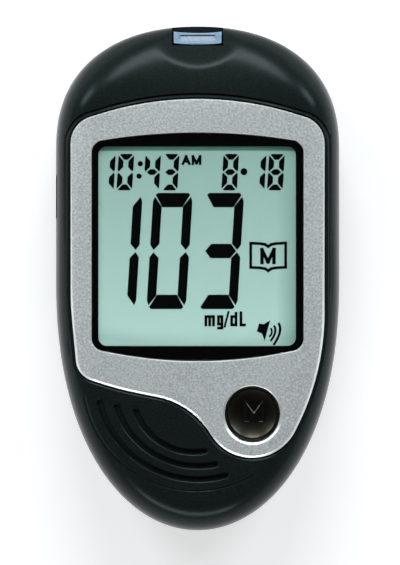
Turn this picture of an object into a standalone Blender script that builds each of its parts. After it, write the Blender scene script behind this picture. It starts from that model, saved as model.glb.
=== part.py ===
"""Handheld blood glucose meter, lying on its back with its display up and its strip port towards +Y.

The pieces stack up from the rear face at z = 0: battery door, cells, bay roof, main board, display, window.
The thickness follows from that stack. The outline, the faceplate and the window are named shapes below.
"""

import math

import bmesh
import bpy
import numpy as np
from mathutils import Matrix, Vector

# Clearances, and how far a cutter runs past what it cuts
FIT_GAP = 0.0003
SEAT_GAP = 0.00015
OVERRUN = 0.002

# Cells and their bay
CELL_DIAMETER = 0.0105
CELL_LENGTH = 0.0445
CELL_NUB_DIAMETER = 0.0038
CELL_NUB_LENGTH = 0.0009
CELL_EDGE_ROUND = 0.0004
CONTACT_THICKNESS = 0.0004
CONTACT_WIDTH_SHARE = 0.705
LEG_WIDTH = 0.0016
SPRING_LENGTH = 0.0030
SPRING_WIRE = 0.0005
SPRING_BASE_SHARE = 0.324
SPRING_TIP_SHARE = 0.190
SPRING_TURNS = 2.5
SPRING_STEPS_PER_TURN = 16
BAY_WALL = 0.0010

# Body outline: a long superellipse towards the tail, straight sides, a short superellipse at the top
SIDE_ROOM = 0.0159
TAIL_ROOM = 0.0111
TOP_ROOM = 0.0093
SHOULDER_SHARE = 0.5
TAIL_SIDE_POWER = 2.01
TAIL_END_POWER = 2.26
CAP_SIDE_POWER = 2.2
CAP_END_POWER = 2.46
TAIL_STEPS = 16
SIDE_STEPS = 4
CAP_STEPS = 12

# Housing shells
SIDE_WALL = 0.0016
REAR_WALL = 0.0016
PARTING_RISE = 0.00285
FRONT_REACH = 0.0075
FRONT_POWER = 2.6
REAR_REACH = 0.007
REAR_POWER = 2.3
EDGE_STEPS = 7
CAP_COLUMNS = 6
CROWN_RISE = 0.0005
FALL_START_SHARE = 0.667
FALL_SHARE = 0.4
LIP_THICKNESS = 0.0008
LIP_HEIGHT = 0.0008

# Faceplate: corners as shares of its half width and of half the body's length
PLATE_INSET = 0.0029
PLATE_THICKNESS = 0.0010
PLATE_PROUD = 0.0001
PLATE_X_SHARES = (-0.948, -0.651, -0.043, 0.463, 1.0, 1.0, 0.0, -1.0, -1.0)
PLATE_Y_SHARES = (-0.383, -0.436, -0.495, -0.919, -0.366, 0.615, 0.767, 0.615, -0.104)
PLATE_RADIUS_SHARES = (0.174, 2.9, 0.633, 0.381, 1.99, 0.216, 2.56, 0.216, 2.5)

# Display window: a pillow shape with a dark border, and the clear field inside it
WINDOW_SIDE_MARGIN = 0.0040
WINDOW_TOP_SHARE = 0.5402
WINDOW_FOOT_SHARE = 0.2781
WINDOW_TOP_BULGE_SHARE = 0.152
WINDOW_FOOT_BULGE_SHARE = 0.204
WINDOW_TOP_RADIUS_SHARE = 5.62
WINDOW_FOOT_RADIUS_SHARE = 4.21
WINDOW_CORNER_RADIUS = 0.0019
WINDOW_THICKNESS = 0.0008
WINDOW_SINK = 0.00025
BORDER_SIDE = 0.0013
BORDER_TOP = 0.0009
BORDER_FOOT = 0.00056
FIELD_CORNER_RADIUS = 0.0016
GASKET_THICKNESS = 0.0002
DECK_THICKNESS = 0.0010

# Display cell and its holder
GLASS_THICKNESS = 0.00055
GLASS_SIDE_MARGIN = 0.0010
GLASS_END_MARGIN = 0.0009
CONTACT_LEDGE = 0.0020
REFLECTOR_THICKNESS = 0.0002
HOLDER_FLOOR = 0.0005
HOLDER_WALL = 0.0009
STRIP_RUBBER_WIDTH = 0.0013
STRIP_RUBBER_INSET = 0.0015

# Battery door, its tongues and their grooves
DOOR_SIDE_MARGIN = 0.0015
DOOR_TAIL_SHARE = 0.65
DOOR_TRAVEL = 0.008
TONGUE_REACH = 0.0008
TONGUE_THICKNESS = 0.0007
TONGUE_Z = 0.0011
TONGUE_LENGTH = 0.005
TONGUE_START_SHARES = (-0.4583, 0.125)
LEDGE_THICKNESS = 0.0012
LEDGE_OVERLAP = 0.0020
GRIP_COUNT = 4
GRIP_SIDE_SHARE = 0.476
GRIP_WIDTH = 0.0010
GRIP_DEPTH = 0.0005
GRIP_PITCH = 0.0022
GRIP_START_SHARE = -0.625

# Board and what is on it, with places as shares of the half width and the half length
BOARD_THICKNESS = 0.0010
BOARD_INSET = 0.0045
BOARD_TAIL_SHARE = -0.75
BOARD_TOP_SHARE = 0.781
CHIP_HEIGHT = 0.0014
CHIP_Y_SHARE = 0.5417
CONTROLLER_SIDE = 0.009
VOICE_CHIP_LENGTH = 0.006
VOICE_CHIP_WIDTH = 0.005
VOICE_CHIP_X_SHARE = 0.389
MEMORY_CHIP_LENGTH = 0.005
MEMORY_CHIP_WIDTH = 0.004
MEMORY_CHIP_X_SHARE = -0.370
CRYSTAL_DIAMETER = 0.0020
CRYSTAL_LENGTH = 0.0060
CRYSTAL_X_SHARE = -0.222
CRYSTAL_Y_SHARE = 0.385
CAPACITOR_DIAMETER = 0.0050
CAPACITOR_HEIGHT = 0.0054
CAPACITOR_X_SHARE = 0.556
CAPACITOR_Y_SHARE = 0.396

# Memory button, its pod and its switch
BUTTON_RADIUS_SHARE = 0.2158
BUTTON_X_SHARE = 0.4315
BUTTON_Y_SHARE = -0.5385
BUTTON_PROUD = 0.0001
BUTTON_RIM = 0.0004
BUTTON_DISH_DEPTH = 0.0009
BUTTON_FLANGE = 0.0006
BUTTON_FLANGE_THICKNESS = 0.0006
BUTTON_TRAVEL = 0.0005
POD_CHAMFER = 0.0005
SWITCH_SIDE = 0.0045
SWITCH_HEIGHT = 0.0008
SWITCH_FLOOR = 0.00015
PLUNGER_RADIUS = 0.0011
PLUNGER_LENGTH = 0.00065

# Set button under the door
SET_X_SHARE = 0.72
SET_CAP_RADIUS = 0.0015
SET_FLANGE_RADIUS = 0.0023
SET_FLANGE_THICKNESS = 0.0006
SET_STEM_RADIUS = 0.0012
SET_SINK = 0.0002

# Strip port, its slot and the connector behind it. Rises are from the parting line, sinks from the top end.
PORT_HALF_WIDTH = 0.00455
PORT_DEPTH = 0.00265
PORT_SINK = 0.00075
PORT_TOP_RISE = 0.0052
PORT_FLANGE_REACH = 0.0012
PORT_FLANGE_RISE = 0.0026
PORT_FLANGE_DEPTH = 0.0011
STRIP_SIDE_SHARE = 0.747
STRIP_RISE = 0.0020
STRIP_SLOT_HEIGHT = 0.0009
MOUTH_RISE_SHARE = 1.2
LEAF_RUN_SHARES = (0, 0.3, 0.65, 0.8, 1)
LEAF_DROP_SHARES = (0, 0, 0.8, 0.8, 0.3)
PORT_RECESS_MARGIN = 0.00045
PORT_RECESS_LENGTH = 0.00125
PORT_RECESS_DEPTH = 0.0012
SCOOP_RADIUS = 0.018
SCOOP_CHORD_SHARE = 0.767
SCOOP_BEYOND = 0.0072
CONNECTOR_SIDE = 0.00065
CONNECTOR_LENGTH = 0.0094
CONNECTOR_RISE = 0.0006
CONNECTOR_MOUTH_SHARE = 0.798
STRIP_CONTACT_COUNT = 3
STRIP_CONTACT_PITCH = 0.0022
STRIP_CONTACT_WIDTH = 0.0008
STRIP_CONTACT_THICKNESS = 0.0002

# Data port in the left side
DATA_Y_SHARE = 0.323
DATA_WIDTH = 0.0076
DATA_DEPTH = 0.0088
DATA_WALL = 0.0004
DATA_SINK = 0.0009
DATA_TONGUE_WIDTH = 0.0046
DATA_TONGUE_THICKNESS = 0.0010

# Speaker over its slots in the rear face
SPEAKER_RADIUS = 0.009
SPEAKER_DEPTH = 0.0042
SPEAKER_GASKET_THICKNESS = 0.0005
SPEAKER_GASKET_WIDTH = 0.0012
SPEAKER_WALL = 0.0006
MAGNET_RADIUS_SHARE = 0.578
MAGNET_HEIGHT = 0.0018
CONE_THICKNESS = 0.0003
CONE_RISE = 0.0008
RIB_WIDTH = 0.0010
RIB_HEIGHT = 0.0035
SLOT_COUNT = 5
SLOT_PITCH_SHARE = 0.267
SLOT_WIDTH = 0.0011
LEAD_RADIUS = 0.0004
LEAD_X = 0.0064
LEAD_BACK_SHARE = 0.24
LEAD_SWAY = 0.0016
LEAD_OUT_SHARES = (0, 0.2, 0.55, 0.65, 0.45, 0.1, 0)
LEAD_RISE_SHARES = (0, 0.15, 0.3, 0.5, 0.7, 0.85, 1)

# Case screws and their bosses
SCREW_X_SHARES = (0.648, 0.630)
SCREW_Y_SHARES = (0.6875, -0.4146)
SCREW_SHANK_RADIUS = 0.0009
SCREW_HEAD_RADIUS = 0.0019
SCREW_HEAD_HEIGHT = 0.0014
SCREW_HEAD_SINK = 0.0036
SCREW_BITE = 0.0045
SCREW_SLOT_WIDTH = 0.0006
SCREW_SLOT_DEPTH = 0.0007
SCREW_FACE_SHARE = 0.85
SCREW_SLOT_SHARE = 0.6
BOSS_WALL = 0.0011

# Thumb grooves: arcs about points near the centre line, as shares of the plate's half width
GROOVE_WIDTH = 0.0014
GROOVE_DEPTH = 0.0005
GROOVE_RADIUS_SHARES = (0.485, 0.676, 0.793)
GROOVE_CENTRE_Y_SHARES = (-0.884, -0.801, -0.788)
GROOVE_START_DEG = (197, 196, 192)
GROOVE_END_DEG = (282, 283, 286)

# Facets of round pieces
ROUND_SIDES = 32
SMALL_SIDES = 16
ARC_SAG = 0.00003
BALL_SEGMENTS = 48
SMOOTH_DEG = 35
WELD_DISTANCE = 0.0000015
ROD_STEP_DEG = 8
EDGE_SHARE = 0.98
SHELLS = ("front_housing", "rear_housing")

# Heights that follow from the stack
CELL_Z = REAR_WALL + FIT_GAP + CELL_DIAMETER / 2
PARTING_Z = CELL_Z + PARTING_RISE
FRONT_BASE_Z = PARTING_Z + FIT_GAP / 2
REAR_BASE_Z = PARTING_Z - FIT_GAP / 2
BAY_CEILING_Z = CELL_Z + CELL_DIAMETER / 2 + FIT_GAP
BOARD_Z = BAY_CEILING_Z + BAY_WALL + FIT_GAP
BOARD_TOP_Z = BOARD_Z + BOARD_THICKNESS
UNDER_BOARD_Z = BOARD_Z - SEAT_GAP
HOLDER_Z = BOARD_TOP_Z + SEAT_GAP
REFLECTOR_Z = HOLDER_Z + HOLDER_FLOOR + SEAT_GAP
REAR_GLASS_Z = REFLECTOR_Z + REFLECTOR_THICKNESS + SEAT_GAP
FRONT_GLASS_Z = REAR_GLASS_Z + GLASS_THICKNESS + SEAT_GAP
DECK_UNDERSIDE_Z = FRONT_GLASS_Z + GLASS_THICKNESS + SEAT_GAP
SEAT_Z = DECK_UNDERSIDE_Z + DECK_THICKNESS
GASKET_Z = SEAT_Z + SEAT_GAP
WINDOW_Z = GASKET_Z + GASKET_THICKNESS + SEAT_GAP
WINDOW_TOP_Z = WINDOW_Z + WINDOW_THICKNESS
FACE_Z = WINDOW_TOP_Z + WINDOW_SINK
TOP_WALL = FACE_Z - DECK_UNDERSIDE_Z
ABOVE_ALL_Z = FACE_Z + CROWN_RISE + OVERRUN

# Places that follow from the pieces: the cells, the set button and the speaker lie in a row along Y
BAY_HALF_WIDTH = CELL_DIAMETER + 2 * FIT_GAP
BAY_LENGTH = CELL_LENGTH + SPRING_LENGTH + 2 * CONTACT_THICKNESS + 5 * FIT_GAP
SET_RUN = BAY_WALL + SET_FLANGE_RADIUS + SET_CAP_RADIUS + LEDGE_THICKNESS + 6 * FIT_GAP
BODY_WIDTH = 2 * (BAY_HALF_WIDTH + SIDE_ROOM)
BODY_LENGTH = TAIL_ROOM + BAY_LENGTH + SET_RUN + 2 * SPEAKER_RADIUS + TOP_ROOM
HALF_WIDTH = BODY_WIDTH / 2
HALF_LENGTH = BODY_LENGTH / 2
SHOULDER_Y = SHOULDER_SHARE * HALF_LENGTH
FALL_START_Y = FALL_START_SHARE * HALF_LENGTH
PLATE_HALF_WIDTH = HALF_WIDTH - PLATE_INSET
WINDOW_HALF_WIDTH = PLATE_HALF_WIDTH - WINDOW_SIDE_MARGIN
WINDOW_TOP_Y = WINDOW_TOP_SHARE * HALF_LENGTH
WINDOW_FOOT_Y = -WINDOW_FOOT_SHARE * HALF_LENGTH
FIELD_HALF_WIDTH = WINDOW_HALF_WIDTH - BORDER_SIDE
FIELD_TOP_Y = WINDOW_TOP_Y - BORDER_TOP
FIELD_FOOT_Y = WINDOW_FOOT_Y + BORDER_FOOT
BAY_TAIL_Y = TAIL_ROOM - HALF_LENGTH
BAY_TOP_Y = BAY_TAIL_Y + BAY_LENGTH
CELL_X = (CELL_DIAMETER + FIT_GAP) / 2
CONTACT_WIDTH = CELL_DIAMETER * CONTACT_WIDTH_SHARE
SPRING_BASE_RADIUS = CELL_DIAMETER * SPRING_BASE_SHARE
SPRING_TIP_RADIUS = CELL_DIAMETER * SPRING_TIP_SHARE
DOOR_HALF_WIDTH = BAY_HALF_WIDTH + DOOR_SIDE_MARGIN
DOOR_TAIL_Z = PARTING_Z * DOOR_TAIL_SHARE
LEDGE_HALF_WIDTH = DOOR_HALF_WIDTH + LEDGE_OVERLAP
LEDGE_Z = REAR_WALL + FIT_GAP
LEDGE_TOP_Z = LEDGE_Z + LEDGE_THICKNESS
GRIP_HALF_WIDTH = DOOR_HALF_WIDTH * GRIP_SIDE_SHARE
SET_X = BAY_HALF_WIDTH * SET_X_SHARE
SET_Y = BAY_TOP_Y + BAY_WALL + SET_FLANGE_RADIUS + FIT_GAP
DOOR_TOP_Y = SET_Y + SET_CAP_RADIUS + 2 * FIT_GAP
SPEAKER_Y = DOOR_TOP_Y + LEDGE_THICKNESS + SPEAKER_RADIUS + 3 * FIT_GAP
MAGNET_RADIUS = SPEAKER_RADIUS * MAGNET_RADIUS_SHARE
SLOT_PITCH = SPEAKER_RADIUS * SLOT_PITCH_SHARE
BUTTON_RADIUS = PLATE_HALF_WIDTH * BUTTON_RADIUS_SHARE
BUTTON_X = PLATE_HALF_WIDTH * BUTTON_X_SHARE
BUTTON_Y = HALF_LENGTH * BUTTON_Y_SHARE
BUTTON_HOLE_RADIUS = BUTTON_RADIUS + FIT_GAP
BOARD_TAIL_Y = HALF_LENGTH * BOARD_TAIL_SHARE
BOARD_TOP_Y = HALF_LENGTH * BOARD_TOP_SHARE
CHIP_Y = HALF_LENGTH * CHIP_Y_SHARE
BOSS_BORE = SCREW_SHANK_RADIUS + FIT_GAP
FRONT_BOSS_RADIUS = BOSS_BORE + BOSS_WALL
COUNTERBORE_RADIUS = SCREW_HEAD_RADIUS + FIT_GAP
REAR_BOSS_RADIUS = COUNTERBORE_RADIUS + BOSS_WALL
SCREW_SEAT_Z = SCREW_HEAD_SINK + SCREW_HEAD_HEIGHT + FIT_GAP
PORT_OUTER_Y = HALF_LENGTH - PORT_SINK
PORT_INNER_Y = PORT_OUTER_Y - PORT_DEPTH
PORT_TOP_Z = PARTING_Z + PORT_TOP_RISE
PORT_FLANGE_TOP_Z = PARTING_Z + PORT_FLANGE_RISE
PORT_RECESS_INNER_Y = PORT_INNER_Y + PORT_RECESS_MARGIN
PORT_RECESS_OUTER_Y = PORT_RECESS_INNER_Y + PORT_RECESS_LENGTH
STRIP_HALF_WIDTH = PORT_HALF_WIDTH * STRIP_SIDE_SHARE
STRIP_Z = PARTING_Z + STRIP_RISE
SCOOP_Y = HALF_LENGTH + SCOOP_BEYOND
SCOOP_HALF_CHORD = SCOOP_RADIUS * SCOOP_CHORD_SHARE
CONNECTOR_HALF_WIDTH = PORT_HALF_WIDTH + CONNECTOR_SIDE
CONNECTOR_FLOOR_Z = PARTING_Z + CONNECTOR_RISE
CONNECTOR_FRONT_Y = PORT_INNER_Y - PORT_FLANGE_DEPTH - FIT_GAP
CONNECTOR_MOUTH_DEPTH = CONNECTOR_LENGTH * CONNECTOR_MOUTH_SHARE
DATA_Y = HALF_LENGTH * DATA_Y_SHARE
DATA_HEIGHT = UNDER_BOARD_Z - FRONT_BASE_Z


def clear_scene():
    for old in list(bpy.data.objects):
        bpy.data.objects.remove(old, do_unlink=True)


def material(name, colour, roughness, metallic=0.0, alpha=1.0):
    made = bpy.data.materials.new(name)
    made.use_nodes = True
    shader = made.node_tree.nodes["Principled BSDF"]
    shader.inputs["Base Color"].default_value = (*colour, 1.0)
    shader.inputs["Roughness"].default_value = roughness
    shader.inputs["Metallic"].default_value = metallic
    shader.inputs["Alpha"].default_value = alpha
    made.diffuse_color = (*colour, alpha)
    return made


# Mesh helpers


def new_object(name, mesh_builder):
    """An object made from a bmesh, its faces turned outwards."""
    bmesh.ops.recalc_face_normals(mesh_builder, faces=mesh_builder.faces)
    mesh = bpy.data.meshes.new(name)
    mesh_builder.to_mesh(mesh)
    mesh_builder.free()
    made = bpy.data.objects.new(name, mesh)
    bpy.context.scene.collection.objects.link(made)
    return made


def prism(name, outline, low_z, high_z):
    """An upright solid of a closed outline."""
    builder = bmesh.new()
    base = builder.faces.new([builder.verts.new((x, y, low_z)) for x, y in outline])
    raised = bmesh.ops.extrude_face_region(builder, geom=[base])
    moved = [item for item in raised["geom"] if isinstance(item, bmesh.types.BMVert)]
    bmesh.ops.translate(builder, verts=moved, vec=(0, 0, high_z - low_z))
    return new_object(name, builder)


def block(name, low, high):
    """A box between two corners."""
    outline = ((low[0], low[1]), (high[0], low[1]), (high[0], high[1]), (low[0], high[1]))
    return prism(name, outline, low[2], high[2])


def turned(name, profile, sides, place=(0, 0, 0)):
    """A solid turned about a vertical axis from (radius, z) points: a loop, or a line ending on the axis."""
    builder = bmesh.new()
    verts = [builder.verts.new((radius, 0, z)) for radius, z in profile]
    edges = [builder.edges.new(pair) for pair in zip(verts, verts[1:])]
    if profile[0][0] > 0:
        edges.append(builder.edges.new((verts[-1], verts[0])))
    bmesh.ops.spin(builder, geom=verts + edges, cent=(0, 0, 0), axis=(0, 0, 1),
                   angle=math.tau, steps=sides, use_merge=True, use_duplicate=False)
    bmesh.ops.remove_doubles(builder, verts=builder.verts, dist=WELD_DISTANCE)
    made = new_object(name, builder)
    made.location = place
    made.data.shade_smooth()
    made.data.set_sharp_from_angle(angle=math.radians(SMOOTH_DEG))
    return made


def cylinder(name, radius, low_z, high_z, place, sides=ROUND_SIDES):
    profile = ((0, low_z), (radius, low_z), (radius, high_z), (0, high_z))
    return turned(name, profile, sides, (place[0], place[1], 0))


def peg(name, radius, low_z, high_z, place):
    """A small cylinder, with few sides."""
    return cylinder(name, radius, low_z, high_z, place, SMALL_SIDES)


def ring(name, inner, outer, low_z, high_z, place):
    profile = ((inner, low_z), (outer, low_z), (outer, high_z), (inner, high_z))
    return turned(name, profile, ROUND_SIDES, (place[0], place[1], 0))


def tube(name, points, radius, bevel_resolution):
    """A closed round rod along points."""
    curve = bpy.data.curves.new(name, "CURVE")
    curve.dimensions = "3D"
    curve.bevel_depth = radius
    curve.bevel_resolution = bevel_resolution
    curve.use_fill_caps = True
    spline = curve.splines.new("POLY")
    spline.points.add(len(points) - 1)
    for point, place in zip(spline.points, points):
        point.co = (*place, 1)
    rod = bpy.data.objects.new(name, curve)
    bpy.context.scene.collection.objects.link(rod)
    return rod


def as_mesh(source, name):
    """The object's evaluated shape, in world space, as a plain mesh object of its own."""
    bpy.context.view_layer.update()
    graph = bpy.context.evaluated_depsgraph_get()
    mesh = bpy.data.meshes.new_from_object(source.evaluated_get(graph))
    mesh.transform(source.matrix_world)
    bpy.data.objects.remove(source, do_unlink=True)
    builder = bmesh.new()
    builder.from_mesh(mesh)
    bmesh.ops.remove_doubles(builder, verts=builder.verts, dist=WELD_DISTANCE)
    return new_object(name, builder)


def combine(target, tool, operation):
    """The target with the tool cut out of it, joined to it, or kept where they meet.

    The shells meet many tools in one plane, where the exact solver can leave an open seam.
    """
    name = target.name
    step = target.modifiers.new(operation, "BOOLEAN")
    step.solver = "MANIFOLD" if name in SHELLS else "EXACT"
    step.operation = operation
    step.object = tool
    bpy.context.view_layer.update()
    graph = bpy.context.evaluated_depsgraph_get()
    mesh = bpy.data.meshes.new_from_object(target.evaluated_get(graph))
    target.modifiers.clear()
    mesh.name = name
    target.data = mesh
    bpy.data.objects.remove(tool, do_unlink=True)
    return target


def cut(target, tool):
    return combine(target, tool, "DIFFERENCE")


def join(target, tool):
    return combine(target, tool, "UNION")


def keep_inside(target, tool):
    return combine(target, tool, "INTERSECT")


# Outlines


def body_side():
    """Points down the +X side of the body, from the tail's tip to the top's middle."""
    side = []
    for step in range(TAIL_STEPS):
        turn = math.pi / 2 * (1 - step / TAIL_STEPS)
        x = HALF_WIDTH * math.cos(turn) ** (2 / TAIL_SIDE_POWER) if step else 0
        side.append((x, -HALF_LENGTH * math.sin(turn) ** (2 / TAIL_END_POWER)))
    for step in range(SIDE_STEPS):
        side.append((HALF_WIDTH, SHOULDER_Y * step / SIDE_STEPS))
    for step in range(CAP_STEPS + 1):
        turn = math.pi / 2 * step / CAP_STEPS
        x = HALF_WIDTH * math.cos(turn) ** (2 / CAP_SIDE_POWER) if step < CAP_STEPS else 0
        y = SHOULDER_Y + (HALF_LENGTH - SHOULDER_Y) * math.sin(turn) ** (2 / CAP_END_POWER)
        side.append((x, y))
    return side


def body_ring(inset):
    """The +X side of the body's outline, moved inwards along its normals."""
    side = np.array(body_side())
    mirrored = side[1:2] * (-1, 1), side[-2:-1] * (-1, 1)
    extended = np.concatenate((mirrored[0], side, mirrored[1]))
    along = extended[2:] - extended[:-2]
    inwards = np.stack((-along[:, 1], along[:, 0]), axis=1)
    inwards /= np.linalg.norm(inwards, axis=1, keepdims=True)
    return side + inset * inwards


def whole_ring(inset):
    """The closed outline, moved inwards."""
    side = body_ring(inset)
    return np.concatenate((side, side[-2:0:-1] * (-1, 1)))


def inset_at(x, y):
    """How far a point lies inside the body's outline."""
    ring = whole_ring(0)
    ends = np.roll(ring, -1, axis=0)
    along = ends - ring
    share = ((np.array((x, y)) - ring) * along).sum(axis=1) / (along**2).sum(axis=1)
    nearest = ring + np.clip(share, 0, 1)[:, None] * along
    return float(np.linalg.norm(nearest - (x, y), axis=1).min())


def corner_turns(corners):
    """For each corner its point, the directions into and out of it, its turn and its arc's reach."""
    count = len(corners)
    turns = []
    for index in range(count):
        before = Vector(corners[index - 1][:2])
        corner = Vector(corners[index][:2])
        after = Vector(corners[(index + 1) % count][:2])
        arriving = (corner - before).normalized()
        leaving = (after - corner).normalized()
        turn = -arriving.angle_signed(leaving, 0)
        turns.append((corner, arriving, turn, corners[index][2] * math.tan(abs(turn) / 2)))
    return turns


def rounded(corners):
    """A closed outline from (x, y, radius) corners, each replaced by its arc.

    Where two arcs would pass each other on the edge between them, both shrink to meet.
    """
    turns = corner_turns(corners)
    count = len(turns)
    shrink = [1.0] * count
    for index in range(count):
        after = (index + 1) % count
        edge = (turns[after][0] - turns[index][0]).length
        fit = EDGE_SHARE * edge / (turns[index][3] + turns[after][3])
        shrink[index] = min(shrink[index], fit)
        shrink[after] = min(shrink[after], fit)
    outline = []
    for (corner, arriving, turn, reach), less, given in zip(turns, shrink, corners):
        facet = 2 * math.acos(1 - ARC_SAG / (given[2] * less))
        steps = math.ceil(abs(turn) / facet)
        start = corner - arriving * reach * less
        side = math.copysign(given[2] * less, turn)
        centre = start + Vector((-arriving.y, arriving.x)) * side
        for step in range(steps + 1):
            swing = Matrix.Rotation(turn * step / steps, 2)
            outline.append(tuple(centre + swing @ (start - centre)))
    return outline


def grown(corners, amount):
    """The corners of the same outline, counter-clockwise, moved outwards by an amount."""
    moved = []
    count = len(corners)
    for index in range(count):
        before = Vector(corners[index - 1][:2])
        corner = Vector(corners[index][:2])
        after = Vector(corners[(index + 1) % count][:2])
        first = (corner - before).normalized()
        second = (after - corner).normalized()
        first_out = Vector((first.y, -first.x))
        second_out = Vector((second.y, -second.x))
        place = corner + amount * (first_out + second_out) / (1 + first_out.dot(second_out))
        convex = first.x * second.y > first.y * second.x
        radius = corners[index][2] + (amount if convex else -amount)
        moved.append((place.x, place.y, radius))
    return moved


def plate_corners():
    shares = zip(PLATE_X_SHARES, PLATE_Y_SHARES, PLATE_RADIUS_SHARES)
    return [(x * PLATE_HALF_WIDTH, y * HALF_LENGTH, r * PLATE_HALF_WIDTH) for x, y, r in shares]


def window_corners():
    side = WINDOW_HALF_WIDTH
    tip_y = WINDOW_TOP_Y + side * WINDOW_TOP_BULGE_SHARE
    dip_y = WINDOW_FOOT_Y - side * WINDOW_FOOT_BULGE_SHARE
    return [
        (-side, WINDOW_FOOT_Y, WINDOW_CORNER_RADIUS),
        (0, dip_y, side * WINDOW_FOOT_RADIUS_SHARE),
        (side, WINDOW_FOOT_Y, WINDOW_CORNER_RADIUS),
        (side, WINDOW_TOP_Y, WINDOW_CORNER_RADIUS),
        (0, tip_y, side * WINDOW_TOP_RADIUS_SHARE),
        (-side, WINDOW_TOP_Y, WINDOW_CORNER_RADIUS),
    ]


def box_corners(half_width, foot_y, top_y, radius):
    return [
        (-half_width, foot_y, radius),
        (half_width, foot_y, radius),
        (half_width, top_y, radius),
        (-half_width, top_y, radius),
    ]


# Surfaces of the shells


def cap_fall(y):
    """The share of its height that the front face loses towards the strip port."""
    along = (y - FALL_START_Y) / (HALF_LENGTH - FALL_START_Y)
    along = min(max(along, 0), 1)
    return FALL_SHARE * along**2 * (3 - 2 * along)


def face_height(x, y):
    """Height of the front face over the parting line, away from its rounded edge."""
    across = 1 - (2 * x / BODY_WIDTH) ** 2
    down = 1 - (2 * y / BODY_LENGTH) ** 2
    return (FACE_Z - FRONT_BASE_Z + CROWN_RISE * across * down) * (1 - cap_fall(y))


def surface_z(x, y):
    """The front face's height at a point, rounded edge included."""
    share = max(0, 1 - inset_at(x, y) / FRONT_REACH)
    return FRONT_BASE_Z + face_height(x, y) * (1 - share**FRONT_POWER) ** (1 / FRONT_POWER)


def dome(name, base_z, inset, reach, power, height, skirt=0.0):
    """A solid over the body's outline with a rounded edge, closed by a flat base.

    height(x, y) is signed, so the same shape serves both shells. A skirt carries the base past base_z.
    """
    builder = bmesh.new()
    rows = len(body_side())
    levels = [(0, None)] if skirt else []
    for step in range(EDGE_STEPS + 1):
        turn = math.pi / 2 * step / EDGE_STEPS
        inwards = reach * (1 - math.cos(turn) ** (2 / power)) if step < EDGE_STEPS else reach
        levels.append((inwards, math.sin(turn) ** (2 / power)))
    rings = []
    for inwards, share in levels:
        ring = []
        for x, y in whole_ring(inset + inwards):
            rise = -skirt if share is None else share * height(x, y)
            ring.append(builder.verts.new((x, y, base_z + rise)))
        rings.append(ring)
    around = len(rings[0])
    for lower, upper in zip(rings, rings[1:]):
        for index in range(around):
            after = (index + 1) % around
            builder.faces.new((lower[index], lower[after], upper[after], upper[index]))
    builder.faces.new(rings[0][::-1])
    last = rings[-1]
    bands = []
    for row in range(1, rows - 1):
        right = last[row]
        left = last[around - row]
        band = [left]
        for column in range(1, CAP_COLUMNS):
            x = left.co.x + (right.co.x - left.co.x) * column / CAP_COLUMNS
            band.append(builder.verts.new((x, right.co.y, base_z + height(x, right.co.y))))
        bands.append(band + [right])
    for below, above in zip(bands, bands[1:]):
        for column in range(CAP_COLUMNS):
            builder.faces.new((below[column], below[column + 1], above[column + 1], above[column]))
    for column in range(CAP_COLUMNS):
        builder.faces.new((last[0], bands[0][column + 1], bands[0][column]))
        builder.faces.new((last[rows - 1], bands[-1][column], bands[-1][column + 1]))
    bmesh.ops.triangulate(builder, faces=builder.faces)
    made = new_object(name, builder)
    made.data.shade_smooth()
    made.data.set_sharp_from_angle(angle=math.radians(SMOOTH_DEG))
    return made


def front_dome(name, inset=0.0, loss=0.0, skirt=0.0):
    def height(x, y):
        return face_height(x, y) - loss

    return dome(name, FRONT_BASE_Z, inset, FRONT_REACH, FRONT_POWER, height, skirt)


def rear_dome(name, inset=0.0, loss=0.0, skirt=0.0):
    def height(x, y):
        return loss - REAR_BASE_Z

    return dome(name, REAR_BASE_Z, inset, REAR_REACH, REAR_POWER, height, -skirt)


def outline_wall(name, profile):
    """A wall along the body's outline, with a section of (inset, z) points."""
    builder = bmesh.new()
    loops = []
    for inset, z in profile:
        loops.append([builder.verts.new((x, y, z)) for x, y in whole_ring(inset)])
    around = len(loops[0])
    for first, second in zip(loops, loops[1:] + loops[:1]):
        for index in range(around):
            after = (index + 1) % around
            builder.faces.new((first[index], first[after], second[after], second[index]))
    return new_object(name, builder)


def screw_places():
    pairs = zip(SCREW_X_SHARES, SCREW_Y_SHARES)
    return [(side * x * HALF_WIDTH, y * HALF_LENGTH) for x, y in pairs for side in (-1, 1)]


# Front half


def thumb_groove_tool(index):
    """A round rod along the groove's arc, sunk into the face by the groove's depth."""
    radius = GROOVE_RADIUS_SHARES[index] * PLATE_HALF_WIDTH
    centre_y = GROOVE_CENTRE_Y_SHARES[index] * PLATE_HALF_WIDTH
    start = GROOVE_START_DEG[index]
    sweep = GROOVE_END_DEG[index] - start
    steps = math.ceil(sweep / ROD_STEP_DEG)
    rod_radius = GROOVE_WIDTH / 2
    points = []
    for step in range(steps + 1):
        turn = math.radians(start + sweep * step / steps)
        x = radius * math.cos(turn)
        y = centre_y + radius * math.sin(turn)
        points.append((x, y, surface_z(x, y) + rod_radius - GROOVE_DEPTH))
    return as_mesh(tube("groove_tool", points, rod_radius, 2), "groove_tool")


def scoop_tool():
    """A ball that hollows the end of the front face round the strip port."""
    edge_y = SCOOP_Y - SCOOP_HALF_CHORD
    centre_z = surface_z(0, edge_y) + math.sqrt(SCOOP_RADIUS**2 - SCOOP_HALF_CHORD**2)
    builder = bmesh.new()
    bmesh.ops.create_uvsphere(
        builder, u_segments=BALL_SEGMENTS, v_segments=BALL_SEGMENTS // 2, radius=SCOOP_RADIUS
    )
    made = new_object("scoop_tool", builder)
    made.location = (0, SCOOP_Y, centre_z)
    return made


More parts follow.
